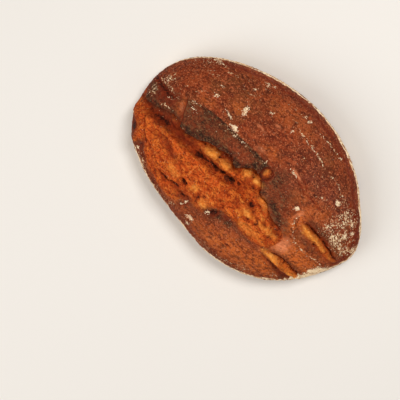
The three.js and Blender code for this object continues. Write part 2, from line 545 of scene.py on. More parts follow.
@dataclass
class LongSlash:
    """The long slash: a flap of crust that curled up as an ear, and the crumb that tore open below it.

    From +Y to -Y it has a crease where the ear starts, the ear, its lip, the floor of the tear with a
    furrow in it, and the torn band from its crest to its lower edge. Each line gives its value, or its
    place across, all along the loaf.
    """

    starts: Fade = Fade(-144, -134)  # along the loaf
    ends: Fade = Fade(79, 70)
    torn_starts: Fade = Fade(-147, -139)
    torn_ends: Fade = Fade(79, 73)
    from_rim: Fade = Fade(-2, 13)  # in from the widest line
    ragged: Ripple = Ripple(0.9, 7)  # of every edge
    narrowest: float = 2.0  # the ear and the band are read as at least so wide
    lip_run: float = 3.6  # how much skin turns under at the lip
    crumb_shows: Fade = Fade(1.62, 2.88)  # how far under the lip
    crease_run: float = 1.8  # how wide the step at the crease is
    curl: float = 1.3  # above 1, the ear rises late, towards its lip
    furrow_depth: float = 2.5  # of the furrow under the tear's floor
    furrow_width: float = 3.2
    shallow: float = 0.6  # share of the furrow's depth where it is broken
    breaks: Ripple = Ripple(1.0, 15, shift=200)
    unbroken: Fade = Fade(-0.45, 0.25)  # where breaks is above this
    crest_round: float = 1.6  # how wide the turn over the crest is, as a share of crest_run
    band_step: float = 0.4  # how far the torn band stands above the crust
    band_swell: float = 2.3  # how far it swells besides
    band_belly: float = 0.8  # below 1, it swells most near its crest
    lower_edge: Fade = Fade(-1, 2.5)  # below the lower line
    shaded: float = 7.0  # a place this deep gets no light
    crease: Line = Line((
        (-141, 11.5), (-131, 10.5), (-120, 10), (-111, 11), (-104, 13.5), (-97, 18), (-88, 22.5),
        (-78, 25.5), (-66, 27.8), (-50, 28.7), (-20, 28.7), (4, 28.2), (16, 27.5), (22, 29), (30, 34),
        (40, 36.5), (52, 34), (62, 28), (69, 15), (77, -6),
    ))
    lip: Line = Line((
        (-141, -6), (-136, -12), (-130, -15), (-124, -12.5), (-117, -10), (-110, -8), (-104, -5.5),
        (-99, -3.5), (-94, -2.5), (-88, -3.5), (-83, -5.5), (-78, -7.2), (-72, -7.2), (-65, -5.5),
        (-57, -3), (-49, 0.8), (-41, 3.6), (-33, 4.6), (-27, 6.8), (-21, 8.6), (-17, 7), (-13, 3),
        (-10, 2), (-7, 3.5), (-4, 7), (1, 11), (5, 13.8), (9, 14.3), (13, 13), (17, 11.5), (21, 9.5),
        (25, 5.5), (28, -0.2), (34, -1.6), (39, -2.6), (44, -6.2), (50, -10), (56, -11.6), (62, -12.6),
        (70, -14.6), (77, -19),
    ))
    rise: Line = Line((  # of the ear at its lip
        (-141, 0), (-130, 1.5), (-104, 1.5), (-98, 1), (-90, 1.8), (-84, 3), (-75, 4.4), (-60, 4.8),
        (0, 4.8), (13, 4.6), (19, 3), (24, 2.4), (30, 3), (50, 3), (65, 2), (77, 0),
    ))
    sink: Line = Line((  # of the ear at its crease
        (-141, 0), (-132, 2.2), (-112, 2.4), (-103, 1), (-97, 0.8), (-88, 1.2), (16, 1.2), (22, 0.3),
        (77, 0),
    ))
    overhang: Line = Line((  # of the lip over the tear
        (-141, 0), (-130, 3), (-104, 2.5), (-98, 2), (-90, 2.5), (-80, 3.6), (-70, 4.4), (8, 4.4),
        (16, 3.4), (22, 2), (30, 3), (60, 2.5), (77, 0),
    ))
    floor: Line = Line((  # how deep the tear's floor lies
        (-141, 0), (-130, 3.5), (-100, 4.2), (-80, 4.6), (0, 4.4), (20, 3.8), (32, 4.4), (60, 4), (77, 0),
    ))
    furrow: Line = Line((
        (-141, -18), (-120, -20), (-105, -17.5), (-88, -16.5), (-70, -15.5), (-54, -17), (-43, -15.5),
        (-25, -14), (-10, -13.5), (2, -12.8), (10, -10), (18, -6), (26, -3.5), (34, -12), (77, -17),
    ))
    furrow_share: Line = Line((  # how much of its depth the furrow has
        (-141, 0), (-125, 1.2), (-80, 1.2), (-60, 1), (8, 1), (20, 0.5), (32, 0), (77, 0),
    ))
    ear_char: Line = Line((  # how dark the ear burnt
        (-141, 0.3), (-105, 0.2), (-90, 0.1), (-78, 0.68), (-60, 0.8), (-44, 0.8), (-10, 0.72), (4, 0.9),
        (16, 1), (19, 0.4), (24, 0),
    ))
    ear_char_at_lip: Line = Line(((-141, 1), (18, 1.3), (24, 0.9), (77, 0.9)))
    ear_skin: Fade = Fade(0.2, 1.4)  # below the crease
    ear_side: Fade = Fade(-50, -30)  # across the loaf, so that the crust below the tear keeps its colour
    burnt_crease: Band = Band(1.2, 2.0)  # below the crease
    burnt_crease_share: float = 0.8
    burnt_lip: Band = Band(1.0, 2.6)  # above the lip
    burnt_edges: float = 0.6
    ember: Spot = Spot(-21, 14.5, 24, 6, 0)  # where the ear stayed red
    ember_share: float = 0.75  # of the char that is missing there
    crest: Line = Line((
        (-141, -31), (-134, -28.5), (-126, -27), (-118, -25), (-110, -22.2), (-80, -21.5), (-38, -20.6),
        (-18, -20), (-7, -18.8), (6, -16.8), (17, -16), (26, -18), (40, -18), (77, -21),
    ))
    crest_run: Line = Line(((-141, 6), (-118, 4), (-108, 1.8), (0, 1.8), (12, 2.5), (26, 8), (77, 8)))
    lower: Line = Line((
        (-141, -36), (-134, -39), (-127, -41), (-122, -47), (-117, -56), (-112, -57), (-107, -51),
        (-103, -51), (-98, -55), (-90, -61.5), (-80, -67), (-66, -70), (-50, -73), (-38, -73), (-33, -67),
        (-27, -62), (-18, -60.5), (-8, -59), (0, -57), (4, -51), (9, -46.5), (15, -43.2), (22, -42.2),
        (31, -43), (41, -45), (52, -45), (60, -42.8), (70, -40.5), (74, -32), (77, -21),
    ))

    def shape(self, skin: Skin, noise: Noise) -> None:
        """Raise the ear, open the tear and paint the torn crumb.

        Args:
            skin: The loaf's skin, which is changed.
            noise: For the ragged edges.
        """
        x = skin.x
        y = skin.y + self.ragged.at(noise, skin.flat)
        overhang = self.overhang.at(x)
        lip, crease = self.lip.at(x) + overhang, self.crease.at(x)
        crest, run, lower = self.crest.at(x), self.crest_run.at(x), self.lower.at(x)

        up_ear = np.clip((crease - y) / np.maximum(crease - lip, self.narrowest), 0, 1)
        ear = self.rise.at(x) * up_ear**self.curl - self.sink.at(x) * (1 - up_ear) ** 2
        ear *= smooth(crease - y, 0, self.crease_run)

        unbroken = mix(self.shallow, 1.0, self.unbroken.at(self.breaks.at(noise, skin.flat)))
        furrow = unbroken * self.furrow_share.at(x) * bell((y - self.furrow.at(x)) / self.furrow_width)
        bottom = -self.floor.at(x) - self.furrow_depth * furrow
        over_crest = smooth(crest + run - y, 0, self.crest_round * run)
        down_band = np.clip((crest - y) / np.maximum(crest - lower, self.narrowest), 0, 1)
        band = self.band_step + self.band_swell * np.sin(math.pi * down_band**self.band_belly)
        past_lower = self.lower_edge.at(lower - y)
        tear = mix(mix(bottom, band, over_crest), 0.0, past_lower)

        along = self.starts.at(x) * self.ends.at(x) * self.from_rim.at(skin.reach_left) * skin.crown
        under = smooth(lip - y, 0, self.lip_run)
        skin.lift += along * mix(ear, tear, under)
        skin.slide += along * overhang * up_ear**2 * (1 - under)

        torn = self.crumb_shows.at(lip - y) * (1 - past_lower)
        skin.add(Paint.TORN, torn * self.torn_starts.at(x) * self.torn_ends.at(x) * skin.crown)
        depth = np.clip(-tear / self.shaded, 0, 1) * torn * along * unbroken
        skin.add(Paint.PAINTED_SHADE, depth * (1 - over_crest))
        on_ear = self.ear_skin.at(crease - y) * (1 - torn) * along * self.ear_side.at(y)
        edges = self.burnt_crease_share * self.burnt_crease.at(crease - y)
        edges = edges + self.burnt_lip.at(y - lip) * self.ear_char_at_lip.at(x)
        charred = 1 - self.ember_share * self.ember.cover(x, y - overhang * up_ear**2)
        charred = self.ear_char.at(x) * charred + self.burnt_edges * edges
        skin.add(Paint.CHAR_AND_SHADE, on_ear * np.clip(charred, 0, 1))


@dataclass(frozen=True)
class ShortSlash:
    """A short slash: a leaf-shaped opening, deep under its sharp upper edge, with a ridge of crumb in it.

    Lengths are in millimetres, and places and widths across it in half widths from its middle, +Y being up.
    """

    start: tuple[float, float]
    end: tuple[float, float]
    half_width: float
    depth: float
    edge_rise: float
    ridge_rise: float  # of the crumb above the floor of the opening
    ridge_at: float  # its place across
    lower_step: float  # depth of the groove along the lower edge
    belly: float  # where it is widest, as a share of its length
    blunt: float = 0.7  # below 1, its ends are blunter than a sine's
    slimmest: float = 0.05
    ragged_x: Ripple = Ripple(0.9, 6, shift=21)
    ragged_y: Ripple = Ripple(0.9, 6)
    upper_wall: tuple[float, float] = (0.78, 0.12)  # its foot, as a share of the opening, and its overrun
    lower_wall: tuple[float, float] = (0.6, 0.15)
    shelf: float = 0.35  # depth on the lower side, as a share of the whole
    deepens: Fade = Fade(-0.5, 0.8)
    ridge_width: float = 0.36
    groove: Band = Band(-0.1, 0.22)  # from the lower edge
    edge: Band = Band(0.35, 0.42)  # from the upper edge
    crumb_shows: Fade = Fade(0.25, 0.6)
    shade_width: float = 0.32  # of the dark under the upper edge
    shade_at: float = 0.75  # its place, as a share of the opening
    shade_runs: Fade = Fade(0.1, 0.5)
    groove_shade: float = 0.6
    groove_runs: Fade = Fade(0.2, 0.6)

    def shape(self, skin: Skin, noise: Noise) -> None:
        """Cut the opening, raise its edge and ridge and paint the torn crumb.

        Args:
            skin: The loaf's skin, which is changed.
            noise: For the ragged edges.
        """
        (ax, ay), (bx, by) = self.start, self.end
        length = math.hypot(bx - ax, by - ay)
        along_x, along_y = (bx - ax) / length, (by - ay) / length
        x = skin.x + self.ragged_x.at(noise, skin.flat)
        y = skin.y + self.ragged_y.at(noise, skin.flat)
        along = np.clip(((x - ax) * along_x + (y - ay) * along_y) / length, 0, 1)
        off = ((y - ay) * along_x - (x - ax) * along_y) / self.half_width
        opening = np.sin(math.pi * along ** (math.log(0.5) / math.log(self.belly))) ** self.blunt
        wide = np.maximum(opening, self.slimmest)

        foot, overrun = self.upper_wall
        inside = smooth(off, wide + overrun, foot * wide)
        foot, overrun = self.lower_wall
        inside = inside * smooth(off, -wide - overrun, -foot * wide)
        trough = inside * mix(self.shelf, 1.0, self.deepens.at(off))
        ridge = inside * bell((off - self.ridge_at * wide) / self.ridge_width)
        groove = self.groove.at(off + wide)
        relief = self.edge_rise * self.edge.at(off - wide) - self.depth * trough
        relief = relief + self.ridge_rise * ridge - self.lower_step * groove
        skin.lift += opening * relief * skin.crown

        shade = bell((off - self.shade_at * wide) / self.shade_width)
        skin.add(Paint.TORN, self.crumb_shows.at(inside * opening) * skin.crown)
        skin.add(Paint.PAINTED_SHADE, self.shade_runs.at(opening) * shade * skin.crown)
        skin.add(Paint.PAINTED_SHADE, self.groove_shade * self.groove_runs.at(opening) * groove * skin.crown)


@dataclass
class HandMarks:
    """What is particular to this loaf: its lumps, pits, folds and cracks."""

    ragged_x: Ripple = Ripple(0.8, 6, shift=50)
    ragged_y: Ripple = Ripple(0.8, 6, shift=90)
    swells: tuple[Spot, ...] = spots(
        # crumb pushed up under the ear, from the far end
        (-58, -8, 9, 3.2, 8, 3), (-37, -5.6, 11, 4.6, 8, 7.4), (-18, -6, 7, 4.6, 6, 7),
        (-7, -5, 5, 3.5, 0, 5), (4, 3.5, 6, 5, 20, 7.4), (17, 4.5, 8, 5, 0, 7), (11, -2, 17, 3.4, 8, 4.4),
        (36, -7, 9, 4.4, -14, 4.6), (49, -14, 6, 3.4, -10, 3), (66, -17, 8, 2.6, -22, 2.8),
        (14, -18.5, 9, 2.4, 3, 1.4),
        # lumps in the rough crumb
        (32, -25, 6, 4.4, 10, 2.2), (47, -26, 5, 3.2, 0, 2.2), (64, -26, 7, 3.4, 0, 2),
        (41, -30, 3.4, 3, 0, 1.8), (56, -35, 8, 4.4, 0, 1.6), (26, -34, 5, 3, 30, 1.4),
        # ridge between the slashes, the bare bump, and the lobe at the far end
        (76, 0, 4.6, 15, -14, 2.8), (81, -27, 8, 8.5, 10, 2.4), (-118, -40, 11, 15, 25, 3),
        (-135, -32, 6, 8, 0, 1.5),
        # knob
        (-121, -1, 15, 6, 4, 2), (-94, 7, 6, 9, 25, 2.2),
        # crust
        (-16, 48, 8, 2.6, -12, 1.6), (-3, 33.5, 7, 4, 20, 1.2), (45, 38.5, 9, 2, -20, 1.4),
        (-6, 61, 4, 2, 0, 0.9), (3, 42, 12, 6, 0, 0.9), (-29, -67, 5, 9, 0, 1.0),
        (60, -62, 24, 9, -8, 1.5), (-52, -69, 18, 5, 0, 1.8),
    )
    pits: tuple[Spot, ...] = spots(
        (-49, -17.6, 5, 2.6, 15, 3.2), (-40, -18.4, 4, 1.8, 0, 2), (-27, -14.7, 4.4, 2.2, 10, 3.2),
        (-17, -12.8, 4.4, 2.2, 8, 3.2), (-5, -12, 5, 2.6, 0, 3), (4, -10, 3.4, 2.2, 0, 2.4),
        (-88, -12, 3, 5, -40, 1.4), (-96, -15, 3, 2, 20, 1.4), (-66, -11, 2, 4, -30, 1.4),
        (-29, -2, 1.6, 5, 8, 2.4), (11, 6, 1.5, 5, 0, 2), (-12, -3, 1.5, 4, 0, 1.6),
        (27, -1, 2.2, 4.5, 30, 2.4), (16, -25.5, 5, 3.8, -10, 1.3), (29, -17, 4.4, 3.2, 30, 3),
        (37, -12, 3.4, 2, 0, 2), (36.5, -30, 2.4, 2.2, 0, 2.4), (2.5, -36, 2, 2, 0, 2.2),
        (-1, -25, 2.4, 6, 12, 1.6), (40, -36, 2, 1.6, 0, 1.4), (52, -22, 4, 2, -30, 2),
        (-39.8, -47.6, 3.4, 2.4, -25, 6), (-46.5, -58, 5.4, 2.2, 8, 4.5), (-60, -61.6, 8, 1.6, 8, 2.4),
        (-33, -62.5, 5, 1.6, 0, 2.4), (-18.5, -50, 2.2, 6, 12, 2.2), (-125, -46, 8, 9, 30, 3),
        (-129, -44, 5, 4, 40, 2.5), (-103, -57, 4, 7, -15, 2), (4, -52.5, 7, 3, 46, 3),
        (18, -45.5, 9, 2.4, 8, 1.6), (-75, -33, 16, 3, -14, 1.1), (-85, -27.6, 2.6, 1.8, 20, 2),
        (-75.6, -31.7, 2.4, 1.6, -30, 2), (-62, -40, 2.2, 1.6, 0, 1.6), (-98, -34, 2, 3, 30, 1.5),
        (-22, -27, 2.4, 1.6, 30, 1.6), (-60, -29, 2.4, 1.4, -20, 1.5),
    )
    cracks: tuple[Stroke, ...] = (  # the amount is a depth
        Stroke(2.2, 3.2, ((-68, -60), (-58, -61), (-46, -61.5), (-36, -61), (-28, -60.5))),
        Stroke(1.8, 2.0, ((74, -51), (86, -52.5), (98, -56), (108, -57))),
        Stroke(1.1, 1.1, ((36, 38), (44, 35.5), (53, 32.5), (62, 29), (74, 29), (84, 27))),
        Stroke(1.0, 0.8, ((52, 39), (62, 33))),
        Stroke(1.5, 1.8, ((-127, -18), (-123, -23), (-116, -30), (-108.5, -36), (-101, -47))),
        Stroke(2.0, 1.6, ((-27, -60), (-23, -66), (-29, -73))),
        Stroke(0.9, 0.8, ((20, -67.5), (34, -68.5), (42, -69))),
        Stroke(1.4, 2.8, ((-96, 18), (-92, 12.5), (-88, 6), (-84.5, 0), (-83, -4))),
        Stroke(1.5, 1.8, ((80, 6.2), (90, 6), (100, 5.6), (110, 5), (116, 3.6))),
        Stroke(2.2, 1.8, ((-138, 8.5), (-120, 9), (-103, 13))),
        Stroke(1.8, 1.2, (
            (103, 50), (115, 42.5), (124, 35), (127, 27), (131, 18), (135, 10), (139, 3), (140.5, -6),
        )),
    )
    folds: tuple[Stroke, ...] = (  # the amount is a height
        Stroke(1.7, 1.9, (
            (74, 15), (71.5, 7), (76, -3.5), (80, -11.6), (90, -16), (102, -17), (124, -18), (133, -17.4),
        )),
        Stroke(1.6, 0.7, ((18, 70), (32, 68), (46, 65), (60, 61))),
        Stroke(1.8, 0.6, ((26, 74), (48, 70), (70, 60), (86, 51))),
        Stroke(2.0, 0.8, ((-120, 60), (-104, 66), (-88, 68))),
        Stroke(1.6, 0.8, ((-112, 52), (-100, 56), (-86, 56))),
        Stroke(1.6, 0.9, ((0, -67), (14, -66), (28, -67.5))),
        Stroke(1.4, 0.9, ((110, 9), (118, 6), (126, 2.5))),
    )
    crack_shade: float = 0.8
    pit_shaded: float = 2.4  # a pit this deep gets no light
    lit_rise: float = 4.5  # a lump this high gets none of the painted shade
    # the step where the ear proper starts, past the knob
    ear_end: Line = Line(((-4, -83), (3, -86), (10, -90.5), (18, -96.5)))  # its x at each y
    ear_end_rise: float = 2.6
    ear_end_char: float = 0.8
    step_up: Fade = Fade(0, 2)  # along the loaf, from ear_end
    step_down: Fade = Fade(22, 6)
    step_char_ends: Fade = Fade(24, 8)
    step_starts: Fade = Fade(-6, 0)  # across the loaf
    step_ends: Fade = Fade(22, 18)
    # the ball of crumb in its pocket at the ear's tip; all but its height are shares of its own radius
    ball: Spot = Spot(19, 19, 4.6, 4.8)
    ball_rise: float = 3.6
    ball_sink: float = 1.0
    pocket_edge: Fade = Fade(1.0, 1.35)
    pocket_ring: Band = Band(1.2, 0.25)
    ring_depth: float = 1.4
    ring_shade: Band = Band(1.25, 0.26)
    clear_of_char: Fade = Fade(0.95, 1.2)
    ball_crumb: Fade = Fade(1.1, 0.9)

    def shape(self, skin: Skin, noise: Noise) -> None:
        """Raise the lumps and folds, and sink the pits and cracks.

        Args:
            skin: The loaf's skin, which is changed.
            noise: For the ragged edges.
        """
        x = skin.x + self.ragged_x.at(noise, skin.flat)
        y = skin.y + self.ragged_y.at(noise, skin.flat)
        raised = sum(spot.cover(x, y) for spot in self.swells)
        relief = raised - sum(spot.cover(x, y) for spot in self.pits)
        skin.paint[Paint.PAINTED_SHADE] *= 1 - np.clip(raised / self.lit_rise, 0, 1)
        for crack in self.cracks:
            relief = relief - crack.amount * crack.cover(x, y)
            skin.add(Paint.PAINTED_SHADE, self.crack_shade * crack.cover(x, y) * skin.crown)
        for fold in self.folds:
            relief = relief + fold.amount * fold.cover(x, y)
        relief = relief + self._step(skin, x, y)
        self._ball(skin, x, y)
        skin.lift += relief * skin.crown
        for pit in self.pits:
            skin.add(Paint.PAINTED_SHADE, np.clip(pit.cover(x, y) / self.pit_shaded, 0, 1) * skin.crown)

    def _step(self, skin: Skin, x: np.ndarray, y: np.ndarray) -> np.ndarray:
        """Char the step where the ear proper starts.

        Args:
            skin: The loaf's skin, which is painted.
            x: Each place along the loaf.
            y: Each place across it.

        Returns:
            How high the step stands at each place.
        """
        past = x - self.ear_end.at(y)
        on_step = self.step_up.at(past) * self.step_starts.at(y) * self.step_ends.at(y)
        skin.add(Paint.CHAR_AND_SHADE, self.ear_end_char * on_step * self.step_char_ends.at(past))
        return self.ear_end_rise * on_step * self.step_down.at(past)

    def _ball(self, skin: Skin, x: np.ndarray, y: np.ndarray) -> None:
        """Set the ball of crumb in its pocket.

        Args:
            skin: The loaf's skin, which is changed.
            x: Each place along the loaf.
            y: Each place across it.
        """
        out = np.hypot((x - self.ball.x) / self.ball.long, (y - self.ball.y) / self.ball.wide)
        keep = self.pocket_edge.at(out)
        dome = self.ball_rise * np.sqrt(np.clip(1 - out**2, 0, 1)) - self.ball_sink
        skin.lift = mix(dome, skin.lift, keep) - self.ring_depth * self.pocket_ring.at(out)
        skin.slide *= keep
        skin.paint[Paint.CHAR_AND_SHADE] *= self.clear_of_char.at(out)
        skin.add(Paint.TORN, self.ball_crumb.at(out))
        skin.add(Paint.PAINTED_SHADE, self.ring_shade.at(out))


@dataclass
class OvenTexture:
    """How the skin swelled, blistered and dried in the oven, down to what the mesh can hold."""

    off_floor: Fade = Fade(0.5, 9)  # above the base, which stays flat
    rim_share: float = 0.45  # how much is left at the widest line, which lay against the basket
    rim_reach: float = 6.0
    # all over
    swell: Ripple = Ripple(0.9, 38)
    dimple: Ripple = Ripple(0.65, 13, shift=31)
    knob: Spot = Spot(-121, 1, 20, 11, 0)
    knob_bumps: Ripple = Ripple(1.1, 6, shift=3)
    # crust
    blister_size: float = 4.0
    blister: float = 0.6
    blister_side: Fade = Fade(0.45, 0.85)
    wrinkle_size: float = 6.0
    wrinkle: float = 0.55
    wrinkle_squeeze: float = 0.35  # below 1, wrinkles run along the loaf
    wrinkle_shift: float = 57.0
    wrinkle_edge: Fade = Fade(0.84, 0.98)
    wrinkle_shade: float = 0.3
    # crumb
    fibre_turn: float = -22.0  # degrees from +X that the crumb's fibres were drawn out
    fibre_stretch: float = 1.9
    crumb: Ripple = Ripple(1.1, 7, shift=73)
    pores: Ripple = Ripple(1.0, 5.5, shift=5)
    pore_edge: Fade = Fade(0.5, 0.85)
    pore: float = 1.3
    pore_shade: float = 0.8
    seams: Ripple = Ripple(1.0, 12, shift=140)
    seam_edge: Fade = Fade(0.9, 0.99)
    seam: float = 0.9
    seam_shade: float = 0.45
    rough: Spot = Spot(48, -24, 34, 13, 2)  # where the crumb tore most raggedly
    lump_size: float = 6.5
    lump_rise: float = 3.0
    lump_share: float = 0.3  # of it, where the crumb tore cleanly
    lump_bend: Ripple = Ripple(1.2, 5, shift=11)
    lump_side: Fade = Fade(0.85, 0.25)
    lump_gap: Fade = Fade(0.6, 0.85)
    gap_shade: float = 0.9
    low: Fade = Fade(-0.6, -2.0)  # a place this low gets little light
    low_shade: float = 0.8
    high: Fade = Fade(0.7, 2.0)  # a place this high gets a painted highlight, in the crumb's gold
    top_highlight: float = 0.65

    def shape(self, skin: Skin, noise: Noise) -> None:
        """Add the texture of crust and crumb.

        Args:
            skin: The loaf's skin, which is changed.
            noise: Where the texture comes from.
        """
        torn = skin.paint[Paint.TORN]
        relief = self.swell.at(noise, skin.place) + self.dimple.at(noise, skin.place)
        relief = relief + self._crust(skin, noise) * (1 - torn) + self._crumb(skin, noise) * torn
        knob = self.knob.cover(skin.x, skin.y) * self.knob_bumps.at(noise, skin.place)
        relief = relief + knob * skin.crown
        calm = mix(self.rim_share, 1.0, smooth(np.abs(skin.reach_left), 0, self.rim_reach))
        skin.lift += relief * self.off_floor.at(skin.place[:, 2]) * calm
        skin.add(Paint.PAINTED_SHADE, self.low_shade * self.low.at(relief) * torn)

    def _crust(self, skin: Skin, noise: Noise) -> np.ndarray:
        """Blister and wrinkle the crust.

        Args:
            skin: The loaf's skin, which is painted.
            noise: Where the texture comes from.

        Returns:
            How high the texture stands at each place.
        """
        blisters = self.blister_side.at(1 - noise.cells(skin.place, self.blister_size))
        squeezed = skin.place * (self.wrinkle_squeeze, 1, 1) + self.wrinkle_shift
        wrinkles = self.wrinkle_edge.at(1 - np.abs(noise.field(squeezed, self.wrinkle_size, 2)))
        shade = self.wrinkle_shade * wrinkles * (1 - skin.paint[Paint.TORN])
        skin.add(Paint.PAINTED_SHADE, shade * skin.crown)
        return self.blister * blisters - self.wrinkle * wrinkles

    def _crumb(self, skin: Skin, noise: Noise) -> np.ndarray:
        """Tear the crumb into fibres, pores, seams and lumps.

        Args:
            skin: The loaf's skin, which is painted.
            noise: Where the texture comes from.

        Returns:
            How high the texture stands at each place.
        """
        angle = math.radians(self.fibre_turn)
        x, y, z = skin.place.T
        fibres = np.column_stack([
            (x * math.cos(angle) + y * math.sin(angle)) / self.fibre_stretch,
            y * math.cos(angle) - x * math.sin(angle),
            z,
        ])
        pores = self.pore_edge.at(self.pores.at(noise, fibres))
        seams = self.seam_edge.at(1 - np.abs(self.seams.at(noise, fibres)))
        lumps = mix(self.lump_share, 1.0, self.rough.cover(skin.x, skin.y))
        apart = noise.cells(fibres + self.lump_bend.at(noise, skin.place)[:, None], self.lump_size)
        relief = self.crumb.at(noise, fibres) - self.pore * pores - self.seam * seams
        relief = relief + lumps * self.lump_rise * (self.lump_side.at(apart) - 0.5)
        torn = skin.paint[Paint.TORN]
        # painted highlight on the high places of the crumb
        skin.add(Paint.GOLD_AND_HIGHLIGHT, self.top_highlight * self.high.at(relief) * torn)
        skin.add(Paint.PAINTED_SHADE, self.gap_shade * lumps * self.lump_gap.at(apart) * torn)
        skin.add(Paint.PAINTED_SHADE, self.pore_shade * pores * torn)
        skin.add(Paint.PAINTED_SHADE, self.seam_shade * seams * torn)
        return relief


